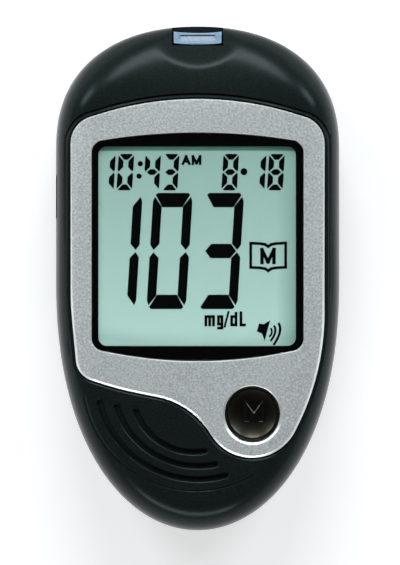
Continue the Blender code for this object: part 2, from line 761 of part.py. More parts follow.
def button_profile_tool(name, chamfered):
    """The button's hole, with the pod's chamfer at the faceplate."""
    top_z = surface_z(BUTTON_X, BUTTON_Y) + PLATE_PROUD
    radius = BUTTON_HOLE_RADIUS
    profile = [(0, BOARD_TOP_Z), (radius, BOARD_TOP_Z)]
    if chamfered:
        profile.append((radius, top_z - POD_CHAMFER))
        profile.append((radius + POD_CHAMFER, top_z))
        profile.append((radius + POD_CHAMFER, ABOVE_ALL_Z))
    else:
        profile.append((radius, ABOVE_ALL_Z))
    profile.append((0, ABOVE_ALL_Z))
    return turned(name, profile, ROUND_SIDES, (BUTTON_X, BUTTON_Y, 0))


def make_front_housing():
    housing = front_dome("front_housing")
    cut(housing, front_dome("cavity", SIDE_WALL, TOP_WALL, OVERRUN))
    for x, y in screw_places():
        top_z = DECK_UNDERSIDE_Z + DECK_THICKNESS / 2
        join(housing, peg("boss", FRONT_BOSS_RADIUS, FRONT_BASE_Z, top_z, (x, y)))
        depth_z = FRONT_BASE_Z + SCREW_BITE + FIT_GAP
        cut(housing, peg("pilot", BOSS_BORE, FRONT_BASE_Z - OVERRUN, depth_z, (x, y)))
    pocket = prism("pocket", rounded(grown(plate_corners(), FIT_GAP)), BOARD_Z, ABOVE_ALL_Z)
    cut(pocket, front_dome("below_plate", 0, PLATE_THICKNESS + FIT_GAP))
    cut(housing, pocket)
    seat = rounded(grown(window_corners(), FIT_GAP))
    cut(housing, prism("seat", seat, SEAT_Z, ABOVE_ALL_Z))
    field = rounded(box_corners(FIELD_HALF_WIDTH, FIELD_FOOT_Y, FIELD_TOP_Y, FIELD_CORNER_RADIUS))
    cut(housing, prism("field", field, BOARD_Z, ABOVE_ALL_Z))
    cut(housing, button_profile_tool("button_hole", False))
    cut(housing, scoop_tool())
    notch_side = PORT_HALF_WIDTH + FIT_GAP
    notch_low = (-notch_side, PORT_INNER_Y - FIT_GAP, FRONT_BASE_Z - OVERRUN)
    cut(housing, block("notch", notch_low, (notch_side, HALF_LENGTH + OVERRUN, ABOVE_ALL_Z)))
    data_side = DATA_WIDTH / 2 + FIT_GAP
    data_low = (-HALF_WIDTH - OVERRUN, DATA_Y - data_side, FRONT_BASE_Z - OVERRUN)
    data_high = (-HALF_WIDTH + SIDE_WALL + OVERRUN, DATA_Y + data_side, UNDER_BOARD_Z + FIT_GAP)
    cut(housing, block("data_opening", data_low, data_high))
    for index in range(len(GROOVE_RADIUS_SHARES)):
        cut(housing, thumb_groove_tool(index))
    return housing


def make_faceplate():
    plate = prism("faceplate", rounded(plate_corners()), BOARD_Z, ABOVE_ALL_Z)
    keep_inside(plate, front_dome("plate_top", 0, -PLATE_PROUD))
    cut(plate, front_dome("plate_underside", 0, PLATE_THICKNESS))
    opening = rounded(grown(window_corners(), FIT_GAP))
    cut(plate, prism("opening", opening, BOARD_Z, ABOVE_ALL_Z))
    cut(plate, button_profile_tool("pod_hole", True))
    return plate


def make_window():
    return prism("display_window", rounded(window_corners()), WINDOW_Z, WINDOW_TOP_Z)


def make_window_gasket():
    top_z = GASKET_Z + GASKET_THICKNESS
    gasket = prism("window_gasket", rounded(window_corners()), GASKET_Z, top_z)
    field = rounded(box_corners(FIELD_HALF_WIDTH, FIELD_FOOT_Y, FIELD_TOP_Y, FIELD_CORNER_RADIUS))
    cut(gasket, prism("gasket_field", field, GASKET_Z - OVERRUN, top_z + OVERRUN))
    return gasket


def button_flange_z():
    """Underside of the button's flange, which hangs just under the deck."""
    return DECK_UNDERSIDE_Z - FIT_GAP - BUTTON_FLANGE_THICKNESS


def make_memory_button():
    top_z = surface_z(BUTTON_X, BUTTON_Y) + BUTTON_PROUD
    flange_z = button_flange_z()
    flange_radius = BUTTON_RADIUS + BUTTON_FLANGE
    dish_radius = BUTTON_RADIUS - BUTTON_RIM
    profile = [(0, flange_z), (flange_radius, flange_z)]
    profile.append((flange_radius, flange_z + BUTTON_FLANGE_THICKNESS))
    profile.append((BUTTON_RADIUS, flange_z + BUTTON_FLANGE_THICKNESS))
    profile.append((BUTTON_RADIUS, top_z - BUTTON_RIM / 2))
    profile.append((BUTTON_RADIUS - BUTTON_RIM / 2, top_z))
    steps = EDGE_STEPS
    for step in range(steps, -1, -1):
        share = step / steps
        profile.append((dish_radius * share, top_z - BUTTON_DISH_DEPTH * (1 - share**2)))
    return turned("memory_button", profile, ROUND_SIDES, (BUTTON_X, BUTTON_Y, 0))


# Switches: a body with a well, and a plunger that the button carries


def make_switch(name, place, seat_z, direction):
    """A switch body on the board, its well opening towards direction (1 up, -1 down)."""
    x, y = place
    side = SWITCH_SIDE / 2
    far_z = seat_z + direction * SWITCH_HEIGHT
    low = (x - side, y - side, min(seat_z, far_z))
    body = block(name, low, (x + side, y + side, max(seat_z, far_z)))
    floor_z = seat_z + direction * SWITCH_FLOOR
    over_z = far_z + direction * OVERRUN
    well = peg("well", PLUNGER_RADIUS + FIT_GAP, min(floor_z, over_z), max(floor_z, over_z), place)
    return cut(body, well)


def make_memory_switch():
    return make_switch("memory_switch", (BUTTON_X, BUTTON_Y), HOLDER_Z, 1)


def make_memory_plunger():
    top_z = button_flange_z() - SEAT_GAP
    place = (BUTTON_X, BUTTON_Y)
    return peg("memory_switch_plunger", PLUNGER_RADIUS, top_z - PLUNGER_LENGTH, top_z, place)


def set_stem_top_z():
    return UNDER_BOARD_Z - SWITCH_FLOOR - BUTTON_TRAVEL - PLUNGER_LENGTH - 2 * SEAT_GAP


def make_set_button():
    low_z = LEDGE_Z + SET_SINK
    flange_z = LEDGE_TOP_Z + FIT_GAP
    shoulder_z = flange_z + SET_FLANGE_THICKNESS
    profile = (
        (0, low_z),
        (SET_CAP_RADIUS, low_z),
        (SET_CAP_RADIUS, flange_z),
        (SET_FLANGE_RADIUS, flange_z),
        (SET_FLANGE_RADIUS, shoulder_z),
        (SET_STEM_RADIUS, shoulder_z),
        (SET_STEM_RADIUS, set_stem_top_z()),
        (0, set_stem_top_z()),
    )
    return turned("set_button", profile, SMALL_SIDES, (SET_X, SET_Y, 0))


def make_set_switch():
    return make_switch("set_switch", (SET_X, SET_Y), UNDER_BOARD_Z, -1)


def make_set_plunger():
    low_z = set_stem_top_z() + SEAT_GAP
    place = (SET_X, SET_Y)
    return peg("set_switch_plunger", PLUNGER_RADIUS, low_z, low_z + PLUNGER_LENGTH, place)


# Rear half


def door_space(name, growth):
    """The part of the rear shell that is the battery door, or with a growth the room that it needs.

    It is as thick as the rear wall over the cells and turns up round the tail.
    """
    side = DOOR_HALF_WIDTH + growth
    end_y = -HALF_LENGTH - OVERRUN
    space = block(name, (-side, end_y, -OVERRUN), (side, DOOR_TOP_Y + growth, REAR_WALL + growth))
    tail_y = BAY_TAIL_Y - BAY_WALL - FIT_GAP + growth
    tail = block("door_tail", (-side, end_y, -OVERRUN), (side, tail_y, DOOR_TAIL_Z + growth))
    return join(space, tail)


def tongue_starts():
    return [share * HALF_LENGTH for share in TONGUE_START_SHARES]


def tongue_box(name, side, start_y, end_y, growth):
    """A door tongue, or with a growth the groove that it runs in."""
    inner_x = side * (DOOR_HALF_WIDTH - TONGUE_REACH)
    outer_x = side * (DOOR_HALF_WIDTH + TONGUE_REACH + growth)
    low = (min(inner_x, outer_x), start_y - growth, TONGUE_Z - growth)
    high = (max(inner_x, outer_x), end_y + growth, TONGUE_Z + TONGUE_THICKNESS + growth)
    return block(name, low, high)


def rear_shell(name):
    shell = rear_dome(name)
    return cut(shell, rear_dome("rear_cavity", SIDE_WALL, REAR_WALL, OVERRUN))


def speaker_slots(housing):
    """Rounded slots through the rear face, shorter towards the speaker's sides."""
    for index in range(SLOT_COUNT):
        y = (index - (SLOT_COUNT - 1) / 2) * SLOT_PITCH
        inside = SPEAKER_RADIUS - SPEAKER_GASKET_WIDTH - SLOT_WIDTH
        half = math.sqrt(inside**2 - y**2)
        low_y = SPEAKER_Y + y - SLOT_WIDTH / 2
        corners = box_corners(half, low_y, low_y + SLOT_WIDTH, SLOT_WIDTH / 2)
        cut(housing, prism("slot", rounded(corners), -OVERRUN, REAR_WALL + OVERRUN))


def add_lip(housing):
    """The lip inside the seam, open at the strip port and at the data port."""
    outer = SIDE_WALL + FIT_GAP
    inner = outer + LIP_THICKNESS
    root_z = REAR_BASE_Z - 2 * LIP_HEIGHT
    section = (
        (SIDE_WALL / 2, root_z),
        (SIDE_WALL / 2, REAR_BASE_Z - FIT_GAP),
        (outer, REAR_BASE_Z - FIT_GAP),
        (outer, FRONT_BASE_Z + LIP_HEIGHT),
        (inner, FRONT_BASE_Z + LIP_HEIGHT),
        (inner, root_z),
    )
    join(housing, outline_wall("lip", section))
    open_z = REAR_BASE_Z - FIT_GAP / 2
    port_side = PORT_HALF_WIDTH + PORT_FLANGE_REACH + FIT_GAP
    port_low = (-port_side, PORT_INNER_Y - PORT_FLANGE_DEPTH, open_z)
    cut(housing, block("port_room", port_low, (port_side, HALF_LENGTH - SIDE_WALL, ABOVE_ALL_Z)))
    data_side = DATA_WIDTH / 2 + FIT_GAP
    data_low = (-HALF_WIDTH + SIDE_WALL, DATA_Y - data_side, open_z)
    cut(housing, block("data_room", data_low, (-BODY_WIDTH / 3, DATA_Y + data_side, ABOVE_ALL_Z)))


def make_rear_housing():
    housing = rear_shell("rear_housing")
    add_lip(housing)
    inner = rear_dome("inner_limit", SIDE_WALL / 2, REAR_WALL / 2, 0)
    ledge_low = (-LEDGE_HALF_WIDTH, BAY_TAIL_Y - BAY_WALL, REAR_WALL / 4)
    ledge_end_y = DOOR_TOP_Y + FIT_GAP + LEDGE_THICKNESS
    ledge_high = (LEDGE_HALF_WIDTH, ledge_end_y, LEDGE_TOP_Z)
    ledge = keep_inside(block("ledge", ledge_low, ledge_high), inner)
    join(housing, ledge)
    tub_side = BAY_HALF_WIDTH + BAY_WALL
    tub_low = (-tub_side, BAY_TAIL_Y - BAY_WALL, LEDGE_Z + LEDGE_THICKNESS / 3)
    tub_high = (tub_side, BAY_TOP_Y + BAY_WALL, BAY_CEILING_Z + BAY_WALL)
    join(housing, block("tub", tub_low, tub_high))
    for x, y in screw_places():
        join(housing, peg("boss", REAR_BOSS_RADIUS, REAR_WALL / 2, REAR_BASE_Z, (x, y)))
    rib_bore = SPEAKER_RADIUS + FIT_GAP
    rib_top_z = REAR_WALL + RIB_HEIGHT
    join(housing, ring("rib", rib_bore, rib_bore + RIB_WIDTH, REAR_WALL / 2, rib_top_z, (0, SPEAKER_Y)))
    bay_low = (-BAY_HALF_WIDTH, BAY_TAIL_Y, -OVERRUN)
    cut(housing, block("bay", bay_low, (BAY_HALF_WIDTH, BAY_TOP_Y, BAY_CEILING_Z)))
    cut(housing, door_space("door_room", FIT_GAP))
    for side in (-1, 1):
        for start_y in tongue_starts():
            groove = tongue_box("groove", side, start_y - DOOR_TRAVEL, start_y + TONGUE_LENGTH, FIT_GAP)
            cut(housing, groove)
            cut(housing, release_notch(side, start_y))
    for x, y in screw_places():
        cut(housing, peg("shank_hole", BOSS_BORE, 0, REAR_BASE_Z + OVERRUN, (x, y)))
        cut(housing, peg("head_hole", COUNTERBORE_RADIUS, -OVERRUN, SCREW_SEAT_Z, (x, y)))
    set_hole = peg("set_hole", SET_CAP_RADIUS + FIT_GAP, 0, LEDGE_TOP_Z + OVERRUN, (SET_X, SET_Y))
    cut(housing, set_hole)
    for side in (-1, 1):
        cut(housing, leg_slot(side))
    speaker_slots(housing)
    return housing


def release_notch(side, start_y):
    """The opening in the groove's lip through which a tongue leaves once the door has slid back."""
    inner_x = side * (DOOR_HALF_WIDTH - TONGUE_REACH)
    outer_x = side * (DOOR_HALF_WIDTH + TONGUE_REACH + FIT_GAP)
    low_y = start_y - DOOR_TRAVEL - FIT_GAP
    low = (min(inner_x, outer_x), low_y, -OVERRUN)
    return block("notch", low, (max(inner_x, outer_x), low_y + TONGUE_LENGTH + 2 * FIT_GAP, TONGUE_Z))


def leg_slot(side):
    """The slot in the bay's roof for the leg of a top contact."""
    half = LEG_WIDTH / 2 + FIT_GAP
    middle = side * CELL_X
    front_y = BAY_TOP_Y - CONTACT_THICKNESS - 2 * FIT_GAP
    low = (middle - half, front_y, BAY_CEILING_Z - OVERRUN)
    return block("leg_slot", low, (middle + half, BAY_TOP_Y, BAY_CEILING_Z + BAY_WALL + OVERRUN))


def make_battery_door():
    door = keep_inside(rear_shell("battery_door"), door_space("door_block", 0))
    for side in (-1, 1):
        for start_y in tongue_starts():
            join(door, tongue_box("tongue", side, start_y, start_y + TONGUE_LENGTH, 0))
    for index in range(GRIP_COUNT):
        y = GRIP_START_SHARE * HALF_LENGTH + index * GRIP_PITCH
        corners = box_corners(GRIP_HALF_WIDTH, y, y + GRIP_WIDTH, GRIP_WIDTH / 2)
        cut(door, prism("grip", rounded(corners), -OVERRUN, GRIP_DEPTH))
    return door


# Cells and contacts


def make_cell(name, side):
    """A cell lying along Y: the left one's nub points to the port end, the right one's to the tail."""
    radius = CELL_DIAMETER / 2
    body = CELL_LENGTH - CELL_NUB_LENGTH
    nub = CELL_NUB_DIAMETER / 2
    profile = (
        (0, 0),
        (radius - CELL_EDGE_ROUND, 0),
        (radius, CELL_EDGE_ROUND),
        (radius, body - CELL_EDGE_ROUND),
        (radius - CELL_EDGE_ROUND, body),
        (nub, body),
        (nub, CELL_LENGTH),
        (0, CELL_LENGTH),
    )
    middle_shift = SPRING_LENGTH / 2 + FIT_GAP / 2
    middle_y = (BAY_TOP_Y + BAY_TAIL_Y) / 2 - side * middle_shift
    place = (side * CELL_X, middle_y + side * CELL_LENGTH / 2, CELL_Z)
    cell = turned(name, profile, ROUND_SIDES, place)
    cell.rotation_euler = (side * math.pi / 2, 0, 0)
    return cell


def contact_plate(name, low_x, high_x, near_y):
    low = (low_x, near_y, LEDGE_TOP_Z)
    return block(name, low, (high_x, near_y + CONTACT_THICKNESS, CELL_Z + CONTACT_WIDTH / 2))


def make_bridge_contact():
    half = CELL_X + CONTACT_WIDTH / 2
    return contact_plate("bridge_contact", -half, half, BAY_TAIL_Y + FIT_GAP)


def make_top_contact(name, side):
    """A contact plate at the port end, with a leg up through the bay's roof to the board."""
    near_y = BAY_TOP_Y - FIT_GAP - CONTACT_THICKNESS
    middle = side * CELL_X
    plate = contact_plate(name, middle - CONTACT_WIDTH / 2, middle + CONTACT_WIDTH / 2, near_y)
    low = (middle - LEG_WIDTH / 2, near_y, CELL_Z)
    leg = block("leg", low, (middle + LEG_WIDTH / 2, near_y + CONTACT_THICKNESS, UNDER_BOARD_Z))
    return join(plate, leg)


def spring_points(side):
    """The coil's centre line. It narrows from its contact plate to the cell's flat end."""
    end_y = BAY_TAIL_Y if side < 0 else BAY_TOP_Y
    towards = -side
    wire = SPRING_WIRE / 2
    start = end_y + towards * (2 * FIT_GAP + CONTACT_THICKNESS + wire)
    run = SPRING_LENGTH - FIT_GAP - SPRING_WIRE
    steps = round(SPRING_TURNS * SPRING_STEPS_PER_TURN)
    points = []
    for step in range(steps + 1):
        share = step / steps
        turn = math.tau * SPRING_TURNS * share
        radius = SPRING_BASE_RADIUS + (SPRING_TIP_RADIUS - SPRING_BASE_RADIUS) * share
        x = side * CELL_X + radius * math.cos(turn)
        points.append((x, start + towards * run * share, CELL_Z + radius * math.sin(turn)))
    return points


def least_coil_gap(points):
    """The least gap of a coil to itself, between points more than half a turn apart."""
    places = np.array(points)
    apart = SPRING_STEPS_PER_TURN // 2
    least = min(
        float(np.linalg.norm(places[index + apart:] - places[index], axis=1).min())
        for index in range(len(places) - apart)
    )
    return least - SPRING_WIRE


def make_battery_spring(name, side):
    points = spring_points(side)
    print(f"{name}: least gap to itself {least_coil_gap(points) * 1000:.2f} mm")
    return tube(name, points, SPRING_WIRE / 2, 1)


# Display


def glass_box(end_extra):
    """Half width, foot and top of a display glass."""
    foot = FIELD_FOOT_Y - GLASS_END_MARGIN - end_extra
    top = FIELD_TOP_Y + GLASS_END_MARGIN + end_extra
    return FIELD_HALF_WIDTH + GLASS_SIDE_MARGIN, foot, top


def glass_plate(name, end_extra, low_z, thickness, trim=0.0):
    side, foot, top = glass_box(end_extra)
    return block(name, (-side + trim, foot + trim, low_z), (side - trim, top - trim, low_z + thickness))


def make_front_glass():
    return glass_plate("lcd_front_glass", CONTACT_LEDGE, FRONT_GLASS_Z, GLASS_THICKNESS)


def make_rear_glass():
    return glass_plate("lcd_rear_glass", 0, REAR_GLASS_Z, GLASS_THICKNESS)


def make_reflector():
    return glass_plate("lcd_reflector", 0, REFLECTOR_Z, REFLECTOR_THICKNESS, FIT_GAP)


def strip_rubber_y(end):
    """The middle of an elastomer strip, under the front glass's contact ledge."""
    _, foot, top = glass_box(CONTACT_LEDGE / 2)
    return foot if end < 0 else top


def rubber_box(name, end, growth, low_z, high_z):
    side = glass_box(0)[0] - STRIP_RUBBER_INSET + growth
    half = STRIP_RUBBER_WIDTH / 2 + growth
    middle = strip_rubber_y(end)
    return block(name, (-side, middle - half, low_z), (side, middle + half, high_z))


def make_elastomer_strip(name, end):
    return rubber_box(name, end, 0, HOLDER_Z, FRONT_GLASS_Z - SEAT_GAP)


def make_lcd_holder():
    top_z = FRONT_GLASS_Z + GLASS_THICKNESS / 3
    side, foot, top = glass_box(CONTACT_LEDGE)
    room = FIT_GAP
    low = (-side - HOLDER_WALL, foot - HOLDER_WALL, HOLDER_Z)
    holder = block("lcd_holder", low, (side + HOLDER_WALL, top + HOLDER_WALL, top_z))
    over_z = top_z + OVERRUN
    front_low = (-side - room, foot - room, FRONT_GLASS_Z - SEAT_GAP)
    cut(holder, block("front_room", front_low, (side + room, top + room, over_z)))
    side, foot, top = glass_box(0)
    rear_low = (-side - room, foot - room, HOLDER_Z + HOLDER_FLOOR)
    cut(holder, block("rear_room", rear_low, (side + room, top + room, over_z)))
    for end in (-1, 1):
        cut(holder, rubber_box("strip_room", end, SEAT_GAP, HOLDER_Z - OVERRUN, over_z))
    return holder


# Board and its components


def make_main_board():
    board = prism("main_board", [tuple(place) for place in whole_ring(BOARD_INSET)], BOARD_Z, BOARD_TOP_Z)
    low = (-BODY_WIDTH, BOARD_TAIL_Y, BOARD_Z - OVERRUN)
    keep_inside(board, block("board_ends", low, (BODY_WIDTH, BOARD_TOP_Y, BOARD_TOP_Z + OVERRUN)))
    for x, y in screw_places():
        low_z = BOARD_Z - OVERRUN
        hole = peg("board_hole", FRONT_BOSS_RADIUS + FIT_GAP, low_z, BOARD_TOP_Z + OVERRUN, (x, y))
        cut(board, hole)
    return board


def chip(name, side_share, length, width):
    """A flat component soldered under the board."""
    x = HALF_WIDTH * side_share
    low = (x - length / 2, CHIP_Y - width / 2, UNDER_BOARD_Z - CHIP_HEIGHT)
    return block(name, low, (x + length / 2, CHIP_Y + width / 2, UNDER_BOARD_Z))


def make_crystal():
    radius = CRYSTAL_DIAMETER / 2
    profile = ((0, 0), (radius, 0), (radius, CRYSTAL_LENGTH), (0, CRYSTAL_LENGTH))
    end_x = HALF_WIDTH * CRYSTAL_X_SHARE
    place = (end_x - CRYSTAL_LENGTH, HALF_LENGTH * CRYSTAL_Y_SHARE, UNDER_BOARD_Z - radius)
    crystal = turned("crystal", profile, SMALL_SIDES, place)
    crystal.rotation_euler = (0, math.pi / 2, 0)
    return crystal


def make_capacitor():
    low_z = UNDER_BOARD_Z - CAPACITOR_HEIGHT
    place = (HALF_WIDTH * CAPACITOR_X_SHARE, HALF_LENGTH * CAPACITOR_Y_SHARE)
    return peg("capacitor", CAPACITOR_DIAMETER / 2, low_z, UNDER_BOARD_Z, place)


# Strip port and connector


def make_strip_port():
    low = (-PORT_HALF_WIDTH, PORT_INNER_Y, FRONT_BASE_Z)
    port = block("strip_port", low, (PORT_HALF_WIDTH, PORT_OUTER_Y, PORT_TOP_Z))
    cut(port, scoop_tool())
    side = PORT_HALF_WIDTH + PORT_FLANGE_REACH
    flange_y = PORT_INNER_Y - PORT_FLANGE_DEPTH
    flange_low = (-side, flange_y, FRONT_BASE_Z)
    join(port, block("flange", flange_low, (side, PORT_INNER_Y + FIT_GAP, PORT_FLANGE_TOP_Z)))
    slot_low = (-STRIP_HALF_WIDTH, flange_y - OVERRUN, STRIP_Z - STRIP_SLOT_HEIGHT / 2)
    slot_high = (STRIP_HALF_WIDTH, PORT_OUTER_Y + OVERRUN, STRIP_Z + STRIP_SLOT_HEIGHT / 2)
    cut(port, block("slot", slot_low, slot_high))
    recess_z = surface_z(0, PORT_RECESS_OUTER_Y) - PORT_RECESS_DEPTH
    recess_low = (-STRIP_HALF_WIDTH, PORT_RECESS_INNER_Y, recess_z)
    cut(port, block("recess", recess_low, (STRIP_HALF_WIDTH, PORT_RECESS_OUTER_Y, ABOVE_ALL_Z)))
    return port


def make_strip_connector():
    back_y = CONNECTOR_FRONT_Y - CONNECTOR_LENGTH
    low = (-CONNECTOR_HALF_WIDTH, back_y, CONNECTOR_FLOOR_Z)
    connector = block("strip_connector", low, (CONNECTOR_HALF_WIDTH, CONNECTOR_FRONT_Y, UNDER_BOARD_Z))
    mouth_y = CONNECTOR_FRONT_Y - CONNECTOR_MOUTH_DEPTH
    mouth_low = (-STRIP_HALF_WIDTH, mouth_y, STRIP_Z - STRIP_SLOT_HEIGHT / 2)
    mouth_top_z = STRIP_Z + STRIP_SLOT_HEIGHT * MOUTH_RISE_SHARE
    mouth_high = (STRIP_HALF_WIDTH, CONNECTOR_FRONT_Y + OVERRUN, mouth_top_z)
    return cut(connector, block("mouth", mouth_low, mouth_high))


def make_strip_contact(name, index):
    """A bent leaf spring over the strip's path."""
    middle = (index - (STRIP_CONTACT_COUNT - 1) / 2) * STRIP_CONTACT_PITCH
    back_y = CONNECTOR_FRONT_Y - CONNECTOR_MOUTH_DEPTH + FIT_GAP
    run = CONNECTOR_MOUTH_DEPTH - 2 * FIT_GAP
    top_z = STRIP_Z + STRIP_SLOT_HEIGHT * MOUTH_RISE_SHARE - SEAT_GAP
    bend = STRIP_SLOT_HEIGHT
    leaf = STRIP_CONTACT_THICKNESS
    shares = zip(LEAF_RUN_SHARES, LEAF_DROP_SHARES)
    upper = [(back_y + run * along, top_z - bend * drop) for along, drop in shares]
    lower = [(y, z - leaf) for y, z in reversed(upper)]
    builder = bmesh.new()
    low_x = middle - STRIP_CONTACT_WIDTH / 2
    face = builder.faces.new([builder.verts.new((low_x, y, z)) for y, z in upper + lower])
    raised = bmesh.ops.extrude_face_region(builder, geom=[face])
    moved = [item for item in raised["geom"] if isinstance(item, bmesh.types.BMVert)]
    bmesh.ops.translate(builder, verts=moved, vec=(STRIP_CONTACT_WIDTH, 0, 0))
    return new_object(name, builder)


# Data port


def data_port_box(name, trim, low_x, high_x):
    half = DATA_WIDTH / 2 - trim
    low = (low_x, DATA_Y - half, UNDER_BOARD_Z - DATA_HEIGHT + trim)
    return block(name, low, (high_x, DATA_Y + half, UNDER_BOARD_Z - trim))


def make_data_port():
    mouth_x = -HALF_WIDTH + DATA_SINK
    shell = data_port_box("data_port", 0, mouth_x, mouth_x + DATA_DEPTH)
    room = data_port_box("room", DATA_WALL, mouth_x - OVERRUN, mouth_x + DATA_DEPTH - DATA_WALL)
    return cut(shell, room)


def make_data_port_insert():
    back_x = -HALF_WIDTH + DATA_SINK + DATA_DEPTH - DATA_WALL - SEAT_GAP
    middle_z = UNDER_BOARD_Z - DATA_HEIGHT / 2
    half = DATA_TONGUE_WIDTH / 2
    low = (back_x - DATA_DEPTH / 2, DATA_Y - half, middle_z - DATA_TONGUE_THICKNESS / 2)
    return block("data_port_insert", low, (back_x, DATA_Y + half, middle_z + DATA_TONGUE_THICKNESS / 2))


# Speaker, facing the rear slots


def speaker_base_z():
    return REAR_WALL + SEAT_GAP + SPEAKER_GASKET_THICKNESS + SEAT_GAP


def make_speaker_gasket():
    low_z = REAR_WALL + SEAT_GAP
    inner = SPEAKER_RADIUS - SPEAKER_GASKET_WIDTH
    top_z = low_z + SPEAKER_GASKET_THICKNESS
    return ring("speaker_gasket", inner, SPEAKER_RADIUS, low_z, top_z, (0, SPEAKER_Y))


def make_speaker_frame():
    base_z = speaker_base_z()
    top_z = base_z + SPEAKER_DEPTH
    room = SPEAKER_RADIUS - SPEAKER_WALL
    profile = (
        (0, top_z - SPEAKER_WALL),
        (room, top_z - SPEAKER_WALL),
        (room, base_z),
        (SPEAKER_RADIUS, base_z),
        (SPEAKER_RADIUS, top_z),
        (0, top_z),
    )
    return turned("speaker_frame", profile, ROUND_SIDES, (0, SPEAKER_Y, 0))


def make_speaker_cone():
    low_z = speaker_base_z() + SPEAKER_WALL
    radius = SPEAKER_RADIUS - SPEAKER_WALL - SEAT_GAP
    profile = []
    for lift in (0, CONE_THICKNESS):
        arc = []
        for step in range(EDGE_STEPS):
            share = step / (EDGE_STEPS - 1)
            arc.append((radius * share, low_z + lift + CONE_RISE * (1 - share**2)))
        profile.extend(arc if not lift else reversed(arc))
    return turned("speaker_cone", profile, ROUND_SIDES, (0, SPEAKER_Y, 0))


def make_speaker_magnet():
    low_z = speaker_base_z() + SPEAKER_DEPTH + SEAT_GAP
    return cylinder("speaker_magnet", MAGNET_RADIUS, low_z, low_z + MAGNET_HEIGHT, (0, SPEAKER_Y))


def make_speaker_lead(name, side):
    """A lead from the speaker's back to the board, held at both ends."""
    start_z = speaker_base_z() + SPEAKER_DEPTH + SEAT_GAP
    rise = UNDER_BOARD_Z - start_z
    x = side * LEAD_X
    start_y = SPEAKER_Y - SPEAKER_RADIUS * LEAD_BACK_SHARE
    shares = zip(LEAD_OUT_SHARES, LEAD_RISE_SHARES)
    points = [(x, start_y - LEAD_SWAY * out, start_z + rise * up) for out, up in shares]
    return tube(name, points, LEAD_RADIUS, 1)


# Screws


def make_case_screw(name, place):
    low_z = SCREW_HEAD_SINK
    neck_z = low_z + SCREW_HEAD_HEIGHT
    tip_z = FRONT_BASE_Z + SCREW_BITE - SCREW_SHANK_RADIUS
    profile = (
        (0, low_z),
        (SCREW_HEAD_RADIUS * SCREW_FACE_SHARE, low_z),
        (SCREW_HEAD_RADIUS, low_z + SCREW_HEAD_HEIGHT / 3),
        (SCREW_HEAD_RADIUS, neck_z),
        (SCREW_SHANK_RADIUS, neck_z),
        (SCREW_SHANK_RADIUS, tip_z),
        (0, tip_z + SCREW_SHANK_RADIUS),
    )
    screw = turned(name, profile, SMALL_SIDES)
    half = SCREW_SLOT_WIDTH / 2
    reach = SCREW_HEAD_RADIUS * SCREW_SLOT_SHARE
    top_z = low_z + SCREW_SLOT_DEPTH
    cross = block("cross", (-reach, -half, low_z - OVERRUN), (reach, half, top_z))
    join(cross, block("cross_bar", (-half, -reach, low_z - OVERRUN), (half, reach, top_z)))
    cut(screw, cross)
    screw.location = (place[0], place[1], 0)
    return screw


def paint(pieces, finish):
    for piece in pieces:
        piece.data.materials.clear()
        piece.data.materials.append(finish)


def build_housings():
    paint([make_front_housing()], material("housing_black", (0.030, 0.036, 0.036), 0.45))
    paint([make_rear_housing()], material("rear_black", (0.022, 0.026, 0.027), 0.50))
    paint([make_battery_door()], material("door_black", (0.022, 0.026, 0.027), 0.50))
    paint([make_faceplate()], material("plate_silver", (0.47, 0.50, 0.48), 0.32, 0.75))


def build_display():
    paint([make_window()], material("window_clear", (0.92, 0.95, 0.94), 0.05, 0.0, 0.25))
    paint([make_window_gasket()], material("gasket_black", (0.01, 0.01, 0.01), 0.60))
    glass = material("lcd_glass", (0.60, 0.70, 0.65), 0.08, 0.0, 0.4)
    paint([make_front_glass(), make_rear_glass()], glass)
    paint([make_reflector()], material("lcd_reflector", (0.36, 0.55, 0.48), 0.35))
    paint([make_lcd_holder()], material("holder_white", (0.80, 0.80, 0.78), 0.50))
    strips = [
        make_elastomer_strip("elastomer_strip_lower", -1),
        make_elastomer_strip("elastomer_strip_upper", 1),
    ]
    paint(strips, material("elastomer_grey", (0.25, 0.25, 0.26), 0.70))


def build_buttons():
    paint([make_memory_button()], material("button_black", (0.035, 0.033, 0.030), 0.30))
    paint([make_set_button()], material("set_button_grey", (0.35, 0.36, 0.36), 0.40))
    switches = [make_memory_switch(), make_set_switch()]
    paint(switches, material("switch_black", (0.03, 0.03, 0.03), 0.50))
    plungers = [make_memory_plunger(), make_set_plunger()]
    paint(plungers, material("plunger_brown", (0.20, 0.09, 0.05), 0.40))


def build_electronics():
    paint([make_main_board()], material("board_green", (0.03, 0.20, 0.09), 0.40))
    chips = [
        chip("controller_chip", 0, CONTROLLER_SIDE, CONTROLLER_SIDE),
        chip("voice_chip", VOICE_CHIP_X_SHARE, VOICE_CHIP_LENGTH, VOICE_CHIP_WIDTH),
        chip("memory_chip", MEMORY_CHIP_X_SHARE, MEMORY_CHIP_LENGTH, MEMORY_CHIP_WIDTH),
    ]
    paint(chips, material("chip_black", (0.02, 0.02, 0.022), 0.40))
    paint([make_crystal()], material("crystal_can", (0.70, 0.70, 0.70), 0.25, 1.0))
    paint([make_capacitor()], material("capacitor_can", (0.55, 0.56, 0.58), 0.30, 0.9))
    paint([make_strip_port()], material("port_blue", (0.45, 0.65, 0.85), 0.15, 0.0, 0.8))
    paint([make_strip_connector()], material("connector_black", (0.04, 0.04, 0.04), 0.45))
    order = range(STRIP_CONTACT_COUNT)
    contacts = [make_strip_contact(f"strip_contact_{index + 1}", index) for index in order]
    paint(contacts, material("contact_gold", (0.80, 0.58, 0.22), 0.25, 1.0))
    paint([make_data_port()], material("port_steel", (0.60, 0.60, 0.60), 0.30, 1.0))
    paint([make_data_port_insert()], material("insert_black", (0.03, 0.03, 0.03), 0.40))


